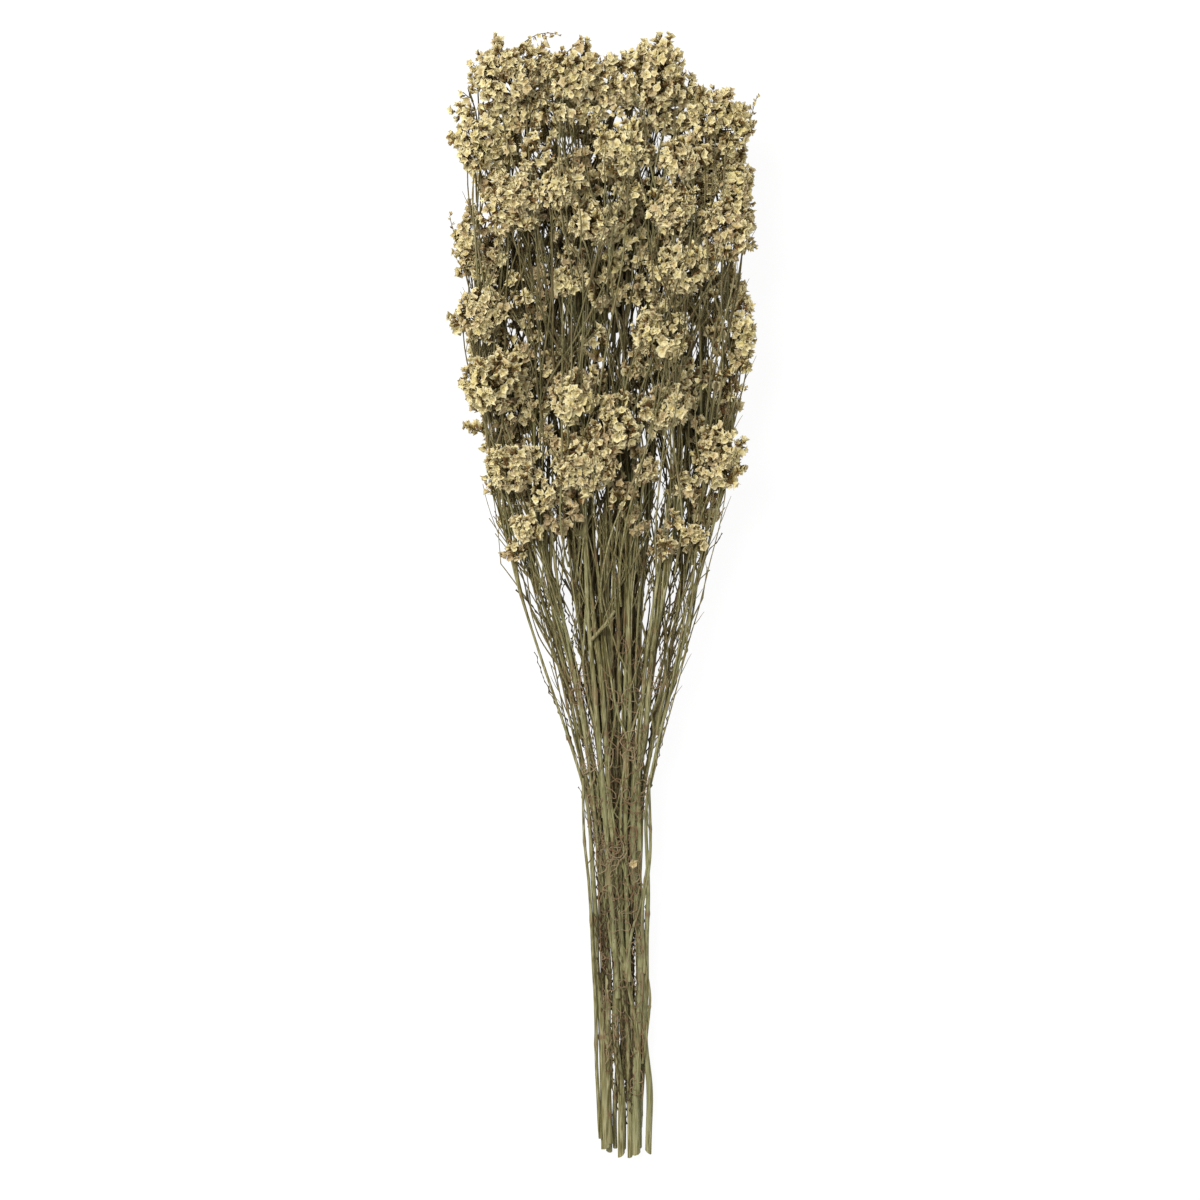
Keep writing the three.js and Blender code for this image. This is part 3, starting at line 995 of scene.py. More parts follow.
@dataclass
class LooseSprigs(Piece):
    """Slim sprigs that stand out of the heads, and a floret caught on a stem."""

    sprigs: tuple[tuple[Point, ...], ...] = (
        ((-60, 318, 50), (-52, 334, 54), (-40, 343, 56), (-27, 338, 57)),
        ((-33, 312, 56), (-28, 324, 58), (-20, 331, 59), (-12, 334, 60)),
        ((33, 316, 56), (36, 324, 58), (39, 331, 58), (38, 338, 58)),
        ((78, 268, 46), (86, 280, 46), (88, 292, 47), (91, 302, 47)),
        ((-84, 196, 36), (-87, 210, 38), (-90, 222, 38), (-93, 232, 38)),
    )
    spacing: float = 2.6
    floret_size: float = 0.62
    bud_share: float = 0.3
    caught: Point = (17, -156.9, 22.4)
    caught_facing: Point = (0.2, -0.3, 1.0)
    caught_size: float = 0.8
    # The low tint mixes in rosy brown and dulls the caught floret: partly its own duller colour, partly
    # painted shade.
    caught_tint: float = 0.12
    slot: ClassVar[str] = FLOWER_SLOT
    sharp: ClassVar[float] = 25

    def grow(self) -> None:
        """Adds the sprigs and the caught floret."""
        bed, caught = FloretBed(), FloretBed()
        for points in self.sprigs:
            path = self.draws.wander(bezier([np.array(p, float) for p in points], 12), 0.6, 9)
            sprig = Spike(path, unit(UP + self.draws.between(-0.6, 0.6, 3)), 0.35, self.spacing)
            sprig.grow(self.shape, bed, self.draws, 0.5, self.floret_size)
        bed.grow(self.shape, self.draws, self.bud_share)
        one = (self.caught, self.caught_facing, self.caught_size, self.caught_tint)
        caught.plant(*(np.array([value]) for value in one))
        caught.grow(self.shape, self.draws, 0)


# Stems, branches and twigs


def jointed(
    radii: np.ndarray, joints: np.ndarray, swell: float, strength: float
) -> tuple[np.ndarray, np.ndarray]:
    """Swells and browns a stem at its joints.

    Args:
        radii: Its radius from point to point.
        joints: The numbers of the points that are joints.
        swell: How many times thicker it is there.
        strength: How strongly it is browned there.

    Returns:
        The radii and the mark paint of each point.
    """
    here = np.isin(np.arange(len(radii)), joints.astype(int))
    return np.where(here, radii * swell, radii), np.where(here, strength, 0.0)


@dataclass(frozen=True)
class StemFoot:
    """The lower end of a stem.

    cut_back is how far its cut lies above the lowest one, radius and width its size there, lean how
    far it strays sideways at the cut, bow how far it bends sideways above that and waist its radius
    where the bunch is narrowest.
    """

    cut_back: float
    radius: float
    width: float
    lean: float
    bow: float
    waist: float


FEET = (
    StemFoot(6, 2.2, 1.35, 0.6, -0.8, 0.85),
    StemFoot(3, 1.9, 1.0, 0.2, 1.4, 0.9),
    StemFoot(9, 2.0, 1.1, -1.2, -1.6, 1.15),
    StemFoot(5, 1.5, 1.0, -0.8, 1.2, 1.1),
    StemFoot(1, 2.1, 1.1, 0.3, -0.6, 1.8),
    StemFoot(4, 1.9, 1.05, -1.0, 1.8, 1.35),
    StemFoot(0, 1.6, 1.0, 0.9, -2.4, 1.25),
    StemFoot(7, 1.4, 1.0, 0.6, -1.0, 1.1),
    StemFoot(2, 2.2, 1.2, -0.3, 1.8, 1.7),
    StemFoot(5, 1.4, 1.0, -0.4, 1.2, 0.9),
    StemFoot(3, 1.9, 1.1, 2.3, 0.6, 0.85),
)


@dataclass
class Branching(Piece):
    """A piece that grows branches with small joints, side twigs and forks."""

    highest: ClassVar[float] = 76
    joint_pitch: ClassVar[Span] = (7, 11)
    joint_swell: ClassVar[float] = 1.4
    joint_strength: ClassVar[float] = 0.5
    # Painted shade: between these heights of y, branches darken towards a dark brown for the shade deep
    # among the flower heads, with some of the thin twigs' own browner colour.
    shading: ClassVar[float] = 0.55
    shaded_y: ClassVar[Span] = (40, 140)
    offshoot_span: ClassVar[Span] = (0.35, 0.92)
    offshoot_pitch: ClassVar[Span] = (22, 40)
    offshoot_length: ClassVar[Span] = (6, 18)
    fork_span: ClassVar[Span] = (0.15, 0.75)
    fork_length: ClassVar[Span] = (28, 75)
    fork_twigs: ClassVar[Span] = (0.45, 0.7)

    def branch(self, path: np.ndarray, thick: float, thin: float, sides: int = 6) -> None:
        """Adds one branch with small joints and painted shade that darkens it deep in the flowers.

        Args:
            path: Its middle line.
            thick: Its radius where it starts.
            thin: Its radius at its end.
            sides: How many sides it has.
        """
        count = len(path)
        share = np.linspace(0, 1, count)
        step = self.draws.between(*self.joint_pitch)
        joints = np.arange(self.draws.between(2, 6), count - 2, step)
        radii, mark = jointed(thick + (thin - thick) * share, joints, self.joint_swell, self.joint_strength)
        # Painted shade deep in the flowers, carried by negative pith paint.
        shade = -self.shading * smooth_step(path[:, 1], *self.shaded_y)
        tint, twig = self.draws.between(0, 1), 0.15 + 0.35 * share
        Rod(path, radii, sides).add_to(self.shape, tint=tint, mark=mark, twig=twig, pith=shade)

    def offshoots(self, path: np.ndarray) -> None:
        """Adds short bare side twigs along a branch.

        Args:
            path: The branch's middle line.
        """
        draws = self.draws
        low, high = (length_of(path) * share for share in self.offshoot_span)
        for at in np.arange(low, high, draws.between(*self.offshoot_pitch)):
            root, ahead = spot_on(path, at)
            side = unit(np.array([draws.between(-1, 1), 0, draws.between(-0.7, 0.7)]))
            size = draws.between(*self.offshoot_length)
            lift = root + (ahead * 0.8 + side * 0.35) * size * 0.5
            tip = root + (ahead + side * 0.45) * size
            tip[2] = min(tip[2], self.highest)
            self.taper(draws.wander(bezier([root, lift, tip], 6), 0.4, 6), (0.34, 0.16), 3, twig=0.9)

    def forks(self, path: np.ndarray) -> None:
        """Adds one or two longer side branches that part from a branch and fork again.

        Args:
            path: The branch's middle line.
        """
        draws = self.draws
        for at in draws.between(*self.fork_span, int(draws.between(1, 3))) * length_of(path):
            root, ahead = spot_on(path, at)
            side = unit(np.array([draws.between(-1, 1), 0.15, draws.between(-0.4, 0.5)]))
            size = draws.between(*self.fork_length)
            bend = root + unit(ahead + side * 0.95) * size * 0.4
            tip = root + unit(ahead + side * draws.between(0.3, 0.6)) * size
            tip[2] = min(tip[2], self.highest)
            if not self.lanes.holds(tip):
                continue
            twig = draws.wander(bezier([root, bend, tip], 11), 0.7, 14)
            self.branch(twig, draws.between(0.4, 0.6), 0.24, 4)
            for share in self.fork_twigs:
                start, onward = spot_on(twig, size * share)
                other = unit(onward + unit(np.array([draws.between(-1, 1), 0.1, 0.3])) * 0.5)
                short = bezier([start, start + other * 5, start + unit(other + onward) * 11], 5)
                self.taper(short, (0.3, 0.16), 3, twig=0.8)


@dataclass
class CutStem(Branching):
    """A cut stem with its nodes, its branches to the heads and the thin branches beside them."""

    stem: int
    heads: list[HeadPlace]
    neighbours: list[HeadPlace]
    foot: StemFoot
    top_share: float = 0.7
    branch_radius: float = 0.78
    branch_tip_radius: float = 0.45
    node_pitch: float = 68
    node_swell: float = 0.24
    node_rings: tuple[float, ...] = (-3.2, -1.8, -0.9, 0, 0.9, 1.8, 3.2)
    ring_pitch: float = 5
    waist_y: float = -70
    twig_radius: float = 0.48
    neighbour_share: float = 0.6

    def top_y(self) -> float:
        """How far up the trunk reaches: to its highest fork."""
        return max(h.at[1] - h.reach for h in self.heads)

    def node_places(self) -> list[float]:
        """Places the nodes of the trunk.

        Returns:
            Their y, from the cut upwards.
        """
        places = []
        y = self.lanes.cut_y + self.draws.between(14, 85)
        while y < self.top_y() - 10:
            places.append(y)
            y += self.node_pitch * self.draws.between(0.7, 1.3)
        return places

    def stations(self, cut: float, top: float, nodes: Sequence[float]) -> np.ndarray:
        """Places the rings of the trunk, close together round its nodes.

        Args:
            cut: The y of the cut.
            top: The y of the trunk's upper end.
            nodes: The y of each node.

        Returns:
            Their y, from the cut upwards.
        """
        found = set(np.linspace(cut, top, int((top - cut) / self.ring_pitch)).tolist())
        found |= {node + ring for node in nodes for ring in self.node_rings}
        y = np.array(sorted(s for s in found if cut <= s <= top))
        return y[np.concatenate([[True], np.diff(y) > 0.4])]

    def middle(self, y: np.ndarray | float) -> np.ndarray:
        """Follows the trunk's own middle line, which strays a little from its lane near the cut.

        Args:
            y: How far along the bunch, one number or many.

        Returns:
            One point, or one row a point.
        """
        y = np.asarray(y, float)
        path = self.lanes.at(self.stem, y)
        low = 1 - smooth_step(y, self.lanes.cut_y, -190)
        bend = np.sin(math.pi * np.clip((y - self.lanes.cut_y) / 240, 0, 1)) ** 2
        window = smooth_step(y, self.lanes.cut_y, -280) * (1 - smooth_step(y, -110, 0))
        path[..., 0] += self.foot.lean * low + self.foot.bow * bend
        path[..., 0] += window * (1.2 * np.sin(y / 25 + 2.1 * self.stem) + 0.5 * np.sin(y / 11 + self.stem))
        path[..., 2] += window * 0.9 * np.sin(y / 31 + 1.3 * self.stem)
        return path

    def trunk(self) -> None:
        """Adds the fluted trunk, swollen and browned at its nodes and cut at a slant."""
        foot, nodes = self.foot, self.node_places()
        cut, top = self.lanes.cut_y + foot.cut_back, self.top_y()
        y = self.stations(cut, top, nodes)
        path = self.middle(y)
        radii = foot.radius + (foot.waist - foot.radius) * smooth_step(y, cut, self.waist_y)
        radii = radii - foot.waist * (1 - self.top_share) * smooth_step(y, self.waist_y, max(top, 20))
        radii = radii * (1 + 0.04 * np.sin(y / 9 + self.stem))
        mark = np.zeros(len(y))
        for k, node in enumerate(nodes):
            near = np.exp(-(((y - node) / 1.7) ** 2))
            radii = radii * (1 + self.node_swell * near)
            mark = np.maximum(mark, near)
            path[:, 0] += (0.6 if k % 2 else -0.6) * np.exp(-(((y - node) / 22) ** 2))
        width = foot.width + (1 - foot.width) * smooth_step(y, -250, -60)
        path = np.concatenate([path[:1] - [[0, 0.05, 0]], path])
        radii = np.concatenate([radii[:1] * 0.6, radii])
        width, mark = np.concatenate([width[:1], width]), np.concatenate([[0], mark])
        rod = Rod(path, radii, 14, flute=0.1)
        rings = rod.rings
        rings[:, :, 0] = path[:, None, 0] + (rings[:, :, 0] - path[:, None, 0]) * width[:, None]
        slope = self.draws.between(-0.9, 0.9)
        slant = slope * (rings[:2, :, 0] - path[:2, None, 0])
        rings[:2, :, 1] += slant + 0.5 * (path[:2, None, 2] - rings[:2, :, 2])
        pith = np.where(np.arange(len(path)) == 0, 1.0, 0.0)
        rod.add_to(self.shape, tint=self.draws.between(0.6, 1.5), mark=mark, pith=pith)
        for node in nodes:
            self.scale_leaf(self.middle(node), float(np.interp(node, path[:, 1], radii)))

    def scale_leaf(self, at: np.ndarray, radius: float) -> None:
        """Adds the dry pointed scale that clasps a node.

        Args:
            at: The node's middle.
            radius: The stem's radius there.
        """
        turn = self.draws.between(0, 2 * math.pi)
        out = np.array([math.cos(turn), 0.0, math.sin(turn)])
        side = np.array([-math.sin(turn), 0.0, math.cos(turn)])
        along = np.array([0.0, 1.0, 0.0])
        length = self.draws.between(3.5, 6.5)
        root = at + out * radius * 0.9
        tip = root + along * length + out * self.draws.between(0.4, 1.6)
        half = side * radius * 0.62
        middle = root + along * length * 0.4 + out * 0.45
        edge = half * 0.8
        points = [root + half, root - half, middle + edge, middle - edge, middle + out * 0.25, tip]
        corners = [[0, 1, 3], [0, 3, 2], [2, 3, 5], [0, 4, 1], [0, 2, 4], [1, 4, 3], [2, 5, 4], [3, 4, 5]]
        self.shape.add(np.array(points), np.array(corners), mark=1.0, tint=self.draws.between(0, 1))

    def companion(self, head: HeadPlace) -> None:
        """Adds a thinner branch that leaves the trunk low down and ends inside a head.

        Args:
            head: The head that it ends in, this stem's own or a neighbour's.
        """
        draws = self.draws
        foot, centre = head.foot(self.lanes), head.centre(self.lanes)
        half = np.array(head.half, float)
        highest = min(self.top_y(), head.at[1] - 60)
        start_y = max(min(head.at[1] - head.reach - draws.between(-25, 85), highest), -230)
        start = self.middle(start_y)
        ahead = unit(self.middle(start_y + 1) - start)
        end = foot + (centre - foot) * 0.45 + draws.between(-0.42, 0.42, 3) * half
        chord = end - start
        size = float(np.linalg.norm(chord))
        side = np.array([draws.between(-1, 1), 0, draws.between(-0.6, 0.6)])
        out = start + unit(ahead + 0.13 * side) * size * 0.36
        before = end + (head.foot_axis(self.lanes) + 0.16 * side) * size * 0.3
        path = draws.wander(bezier([start, out, before, end], max(10, int(size / 5))), 2.0, 28)
        self.branch(path, self.twig_radius * draws.between(0.9, 1.8), self.twig_radius * 0.6, 5)
        self.offshoots(path)
        self.forks(path)

    def grow(self) -> None:
        """Adds the trunk, its branches and the thin branches beside them."""
        self.trunk()
        for head in self.heads:
            line = head.branch(self.lanes, max(16, int(head.reach / 4)))
            path = self.draws.wander(line, 0.5, 30)
            self.branch(path, self.branch_radius, self.branch_tip_radius)
            self.offshoots(path)
        for head in self.heads:
            self.companion(head)
        for head in self.neighbours:
            if self.draws.between(0, 1) < self.neighbour_share:
                self.companion(head)

    def build(self, finish: bpy.types.Material) -> bpy.types.Object:
        """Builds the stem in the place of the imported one.

        Args:
            finish: The material of its mesh.

        Returns:
            The object.
        """
        piece = super().build(finish)
        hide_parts(self.name.replace("branching", "stem"))
        return piece


@dataclass
class OverBranches(Branching):
    """The slender branches that climb over the lower flower heads to the higher ones."""

    heads: list[HeadPlace]
    count: int = 58
    crest: float = 68

    def grow(self) -> None:
        """Adds the branches, each to the next of the heads."""
        draws = self.draws
        for k in range(self.count):
            head = self.heads[k % len(self.heads)]
            centre = head.centre(self.lanes)
            start_y = max(head.at[1] - draws.between(90, 190), -40)
            stem = float(np.clip(head.stem + draws.between(-2.2, 2.2), 0.5, 9.5))
            start = self.lanes.at(stem, start_y, 1.6)
            end = centre + np.array([draws.between(-0.6, 0.6), -0.2, 0]) * np.array(head.half)
            size = float(np.linalg.norm(end - start))
            climb = self.crest + draws.between(-3, 5) - 20 * (abs(centre[0]) / 90) ** 2
            low = start + np.array([draws.between(-12, 12), size * 0.3, (climb - start[2]) * 0.9])
            high = end + np.array([draws.between(-9, 9), -size * 0.4, climb + 4 - end[2]])
            path = draws.wander(bezier([start, low, high, end], max(12, int(size / 6))), 2.2, 30)
            self.branch(path, draws.between(0.55, 0.85), 0.38, 5)
            self.offshoots(path)
            self.forks(path)


@dataclass
class EdgeTwigs(Piece):
    """The thin stems that part from the bunch's sides where it fans out, and fork again and again."""

    count: int = 10
    limb_length: Span = (18, 36)
    turn: Span = (0.1, 0.28)

    def limb(self, stem: float, root: np.ndarray, way: np.ndarray, radius: float, forks: int) -> None:
        """Adds a limb and the thinner limbs that part from its end.

        Args:
            stem: The lane that they follow.
            root: Where the limb starts.
            way: Where it heads.
            radius: Its radius where it starts.
            forks: How many more times it forks.
        """
        draws = self.draws
        end = root + way * draws.between(*self.limb_length)
        middle = (root + end) / 2 + draws.between(-2.2, 2.2, 3)
        path = bezier([root, middle, end], 6)
        radii, mark = jointed(np.linspace(radius, radius * 0.8, 6), np.zeros(1), 1.25, 0.6)
        tint = draws.between(0, 1)
        Rod(path, radii, 4).add_to(self.shape, tint=tint, mark=mark, twig=0.5, pith=-0.15)
        if forks == 0:
            return
        ahead = unit(self.lanes.at(stem, end[1] + 1) - self.lanes.at(stem, end[1]))
        turn = draws.between(*self.turn) * (1 if draws.between(0, 1) < 0.5 else -1)
        for turned in (turn, -turn * draws.between(1.2, 2.6)):
            onward = unit(way + ahead + 2 * np.array([turned, 0, draws.between(-0.12, 0.1)]))
            if self.lanes.holds(end + onward * 24, 7):
                self.limb(stem, end, onward, radius * draws.between(0.66, 0.86), forks - 1)

    def grow(self) -> None:
        """Adds the stems, by turns on the left and on the right."""
        draws = self.draws
        for k in range(self.count):
            inward = draws.between(0.1, 2.2)
            stem = 10 - inward if k % 2 else inward
            y = draws.between(-130, -40)
            root = self.lanes.at(stem, y, draws.between(-0.8, 1.2))
            way = unit(self.lanes.at(stem, y + 20) - self.lanes.at(stem, y))
            self.limb(stem, root, way, draws.between(0.8, 1.05), 4 if k % 3 == 0 else 3)


@dataclass
class ThinStems(Piece):
    """The thin stems that lie between the thick ones, most of them near the middle of the bunch."""

    count: int = 28
    radius: float = 1.05
    joint_swell: float = 1.3
    joint_strength: float = 0.9

    def grow(self) -> None:
        """Adds the stems from left to right, those at the sides closer to the thick ones."""
        draws = self.draws
        for k in range(self.count):
            across = 2 * (k + 0.5) / self.count - 1
            stem = 5 + 4.6 * across * (0.55 + 0.45 * abs(across))
            stem += (round(stem) - stem) * 0.75 * float(smooth_step(abs(across), 0.35, 0.6))
            row = draws.between(-1.9, 0.8)
            low = draws.between(-310, -130) if abs(across) < 0.85 else draws.between(-328, -312)
            y = np.arange(low, draws.between(60, 230), 7.0)
            path = draws.wander(self.lanes.at(stem, y, row), 2.6, 48)
            share = np.linspace(0, 1, len(y))
            radii = self.radius * draws.between(0.75, 1.25) * (1 - 0.55 * share)
            joints = np.arange(draws.between(3, 9), len(y) - 3, draws.between(9, 13))
            radii, mark = jointed(radii, joints, self.joint_swell, self.joint_strength)
            tint, twig = draws.between(0, 1), 0.2 + 0.4 * share
            Rod(path, radii, 8, flute=0.08).add_to(self.shape, tint=tint, mark=mark, twig=twig)


@dataclass(frozen=True)
class Strand:
    """A thin stem that lies over the others: its x and y from place to place, and its radii."""

    points: tuple[Span, ...]
    radius: float
    tip_radius: float
    lift: float = 0.5
    pith: float = 0.0


STRANDS = (
    Strand(((13, -225), (17, -200), (22, -182), (27, -150)), 1.0, 0.6, 0.6, 0.12),
    Strand(((12, -223), (4, -203), (-1, -180), (-3, -140)), 1.05, 0.6, 0.3, 0.05),
    Strand(((20, -300), (21, -262), (14, -228), (8, -180), (4, -130)), 1.5, 1.2, 0.4),
    Strand(((27, -106), (28, -143), (26, -167), (23, -186), (24, -225)), 0.8, 1.1, 0.1),
    Strand(
        ((-13, -106), (-12.5, -143), (-9.5, -167), (-8, -200), (-5, -250), (-4.4, -290), (-2.4, -326)),
        0.8, 1.2, 0.1,
    ),
    Strand(((24, -216), (28, -238), (27, -256), (23, -280)), 0.9, 0.8, 0.2),
    Strand(((-4, -106), (-3, -134), (1, -162), (1, -190), (8, -228)), 0.7, 0.9, 0.4),
    Strand(((8, -60), (2, -100), (6, -140), (16, -176)), 0.6, 0.8, 0.8),
    Strand(((-18, -40), (-8, -90), (3, -130), (8, -170)), 0.6, 0.9, 0.7),
    Strand(((24, -52), (12, -92), (9, -136), (14, -168)), 0.6, 0.85, 0.6),
    Strand(((0, -20), (7, -64), (20, -100), (22, -150)), 0.6, 0.9, 0.6),
    Strand(((-10, 10), (-14, -40), (-3, -84), (-1, -130)), 0.6, 0.85, 0.5),
    Strand(((34, 20), (30, -30), (19, -74), (17, -120)), 0.55, 0.85, 0.5),
    Strand(
        ((-13, 112), (-12, 64), (-11, 12), (-8.5, -32), (-4, -72), (-1, -122), (5, -180), (8, -240)),
        1.2, 1.9, 0.6,
    ),
    Strand(((-8.4, -23), (-4, -18), (1, -12), (6.4, -5)), 1.15, 0.95, 1.5, 0.12),
    Strand(((17, 90), (16, 40), (14, 0), (16, -40), (14, -90), (12, -150), (15, -230)), 1.0, 1.5, 0.2),
    Strand(((40, 70), (31, 10), (24, -40), (20, -90), (21, -150)), 0.9, 1.3, 0.3),
    Strand(((-34, 60), (-27, 4), (-18, -46), (-10, -92), (-4, -150)), 0.8, 1.2, 0.3),
)


@dataclass
class FrontStrands(Piece):
    """The thin stems that cross over the others between the cut ends and the fan."""

    strands: tuple[Strand, ...] = STRANDS
    knots: int = 40
    lift: float = 1.5
    joint_swell: float = 1.3
    joint_strength: float = 0.6
    twigs: int = 4

    def line(self, strand: Strand) -> np.ndarray:
        """Smooths a strand's middle line and lays it just over the stems under it.

        Args:
            strand: The strand.

        Returns:
            The line's points.
        """
        given = np.array(strand.points)
        share, fine = np.linspace(0, 1, len(given)), np.linspace(0, 1, self.knots)
        x, y = np.interp(fine, share, given[:, 0]), np.interp(fine, share, given[:, 1])
        x = np.convolve(np.pad(x, 4, mode="reflect", reflect_type="odd"), np.ones(9) / 9, "valid")
        z = self.lanes.at(5, y, 1)[:, 2] + self.lift + strand.lift
        return self.draws.wander(np.stack([x, y, z], axis=1), 0.7, 26)

    def grow(self) -> None:
        """Adds the strands, each with a few short twigs."""
        draws = self.draws
        for strand in self.strands:
            path = self.line(strand)
            radii = np.linspace(strand.radius, strand.tip_radius, self.knots)
            joints = np.arange(draws.between(4, 10), self.knots - 2, draws.between(9, 14))
            radii, mark = jointed(radii, joints, self.joint_swell, self.joint_strength)
            tint = draws.between(0.3, 1)
            Rod(path, radii, 9, flute=0.08).add_to(self.shape, tint=tint, mark=mark, pith=strand.pith)
            for at in draws.between(0.1, 0.9, self.twigs) * length_of(path):
                root, ahead = spot_on(path, at)
                side = unit(np.array([draws.between(-1, 1), 0.0, draws.between(0, 0.5)]))
                up = ahead * (1 if ahead[1] > 0 else -1)
                size = draws.between(8, 26)
                tip = root + unit(up + side * 0.4) * size
                if self.lanes.holds(tip, 0):
                    twig = bezier([root, root + (up + side) * size * 0.3, tip], 8)
                    self.taper(draws.wander(twig, 0.6, 8), (0.42, 0.2), 4, twig=0.6, tint=tint)


@dataclass
class InnerBranches(Piece):
    """Thin branches that criss-cross among the flower heads, thicker ones deep in the bunch, darkened there
    with painted shade.
    """

    count: int = 200
    deep_count: int = 360
    lowest: float = 10
    highest: float = 240
    ends_by: float = 300
    deep_below: float = 110
    deep_thicker: float = 1.7

    def grow(self) -> None:
        """Adds the thin branches and then the deep ones, which start further down."""
        draws = self.draws
        for k in range(self.count + self.deep_count):
            deep = k >= self.count
            knots = 9 if deep else 12
            stem = draws.between(0.6, 9.4) if deep else draws.between(-0.2, 10.2)
            row = draws.between(-5.2, -2) if deep else draws.between(-3.5, 1.2)
            start = draws.between(self.lowest - self.deep_below * deep, self.highest)
            length = draws.between(45, 95)
            below = start < self.lowest
            if below:
                stem, row = 3.3 + 0.36 * stem, row * 0.5
            share = np.linspace(0, 1, knots)
            y = np.linspace(start, min(start + length, self.ends_by), knots)
            path = self.lanes.at(stem, y, np.linspace(-1.2, row, knots) if deep else row)
            path[:, 0] += draws.between(-34, 34) * share**1.2 * (0.5 if below else 1)
            if not self.lanes.holds(path[-1]):
                continue
            path = draws.wander(path, 4.0, 22)
            thick = draws.between(0.35, 0.75) * (self.deep_thicker if deep else 1)
            # Painted shade: the deep branches are painted almost as dark as the wiry twigs; the others are
            # painted a little darker.
            tint, shade = draws.between(0, 0.6), -0.85 if deep else -0.3
            rod = Rod(path, thick * np.linspace(1, 0.5, knots), 4)
            rod.add_to(self.shape, tint=tint, twig=0.3, pith=shade)


@dataclass
class WiryTwigs(Piece):
    """Dark, beaded side twigs that wind along between the stems."""

    count: int = 260
    lowest: float = -320
    highest: float = 120
    length: Span = (18, 75)
    pitch: float = 2.9
    radius: float = 0.24
    bead_radius: float = 0.52
    sharp: ClassVar[float] = 80

    def twig(self) -> None:
        """Adds one twig that leaves a stem and winds upwards beside it."""
        draws = self.draws
        start = self.lowest + (self.highest - self.lowest) * draws.between(0, 1)
        length = draws.between(*self.length)
        beads = max(5, int(length / self.pitch))
        number, share = np.arange(beads), np.linspace(0, 1, beads)
        stem = draws.between(0.2, 9.8)
        row = draws.between(-1.2, 1.5 + 1.3 * float(smooth_step(-start, 80, 200)))
        drift = draws.between(-1.5, 1.5) * share**1.2
        stems = np.clip(stem + drift, -0.35, 10.35)
        rows = row + draws.between(-1.2, 1.2) * share
        y = start + share * length
        path = np.array([self.lanes.at(float(s), v, r) for s, v, r in zip(stems, y, rows)])
        path[:, 0] += np.where(number % 2 == 0, 1.0, -1.0) * draws.between(0.25, 0.7, beads)
        path += draws.between(-0.45, 0.45, beads, 3)
        halves = np.arange(0, beads - 0.5, 0.5)
        path = np.stack([np.interp(halves, number, path[:, k]) for k in range(3)], 1)
        radii = np.where(np.arange(len(path)) % 2 == 0, self.bead_radius, self.radius)
        radii = radii * draws.between(0.7, 1.2) * draws.between(0.75, 1.2, len(path))
        Rod(path, radii, 4).add_to(self.shape, twig=1.0, tint=draws.between(0, 1), pith=-1.0)

    def grow(self) -> None:
        """Adds the twigs."""
        for _ in range(self.count):
            self.twig()


@dataclass
class CurledFibres(Piece):
    """Thin curly fibres of dry bark, caught between the stems."""

    radius: float = 0.31
    fibres_a_place: int = 3
    stray_fibres: int = 50
    sharp: ClassVar[float] = 80
    places: tuple[Span, ...] = (
        (-4, -212), (-3, -205), (-5, -262), (-4, -150), (10, -148), (14, -140), (18, -152), (8, -88),
        (13, -90), (17, -86), (3, -92), (21, -118), (24, -200), (27, -232), (6, -60), (-2, -120),
        (20, -60), (10, -232), (12, -30), (-12, -48), (26, -40), (2, -140), (6, -146), (20, -134),
        (-8, -132), (0, -158), (22, -164), (12, -176), (-4, -246), (-6, -272), (26, -262), (27, -290),
        (8, -250), (18, -246), (2, -180), (24, -110), (-9, -100), (14, -112),
    )

    def fibre(self, x: float, y: float) -> None:
        """Adds one fibre that curls round a point of the bunch's upper side.

        Args:
            x: How far across the point is.
            y: How far along it is.
        """
        draws = self.draws
        count = int(draws.between(26, 52))
        middle = self.lanes.at(5, y, 1)[2] + draws.between(1.6, 4.8)
        at = np.array([x + draws.between(-1.5, 1.5), y, middle])
        heading = draws.between(0, 2 * math.pi)
        bend = draws.between(-0.35, 0.35)
        points = []
        for _ in range(count):
            bend = 0.86 * bend + draws.between(-0.17, 0.17)
            heading += bend
            home = (np.array([x, y]) - at[:2]) * 0.04
            step = [math.cos(heading) * 0.8 + home[0], math.sin(heading) * 0.95 + home[1]]
            at = at + np.array([*step, draws.between(-0.25, 0.25)])
            at[0] = np.clip(at[0], self.lanes.at(0.6, at[1])[0], self.lanes.at(9.4, at[1])[0])
            points.append(at)
        radii = np.linspace(self.radius, self.radius * 0.6, count)
        pale, tint = draws.between(-0.1, 0.4), draws.between(0.6, 1)
        Rod(np.array(points), radii, 3).add_to(self.shape, twig=1.0, tint=tint, pith=pale, mark=1.5)

    def grow(self) -> None:
        """Adds the fibres round the given places and some stray ones."""
        for x, y in self.places:
            for _ in range(self.fibres_a_place):
                self.fibre(x, y)
        for _ in range(self.stray_fibres):
            y = self.draws.between(-215, -50)
            self.fibre(float(self.lanes.at(self.draws.between(1, 9), y)[0]), y)


# Shader maths


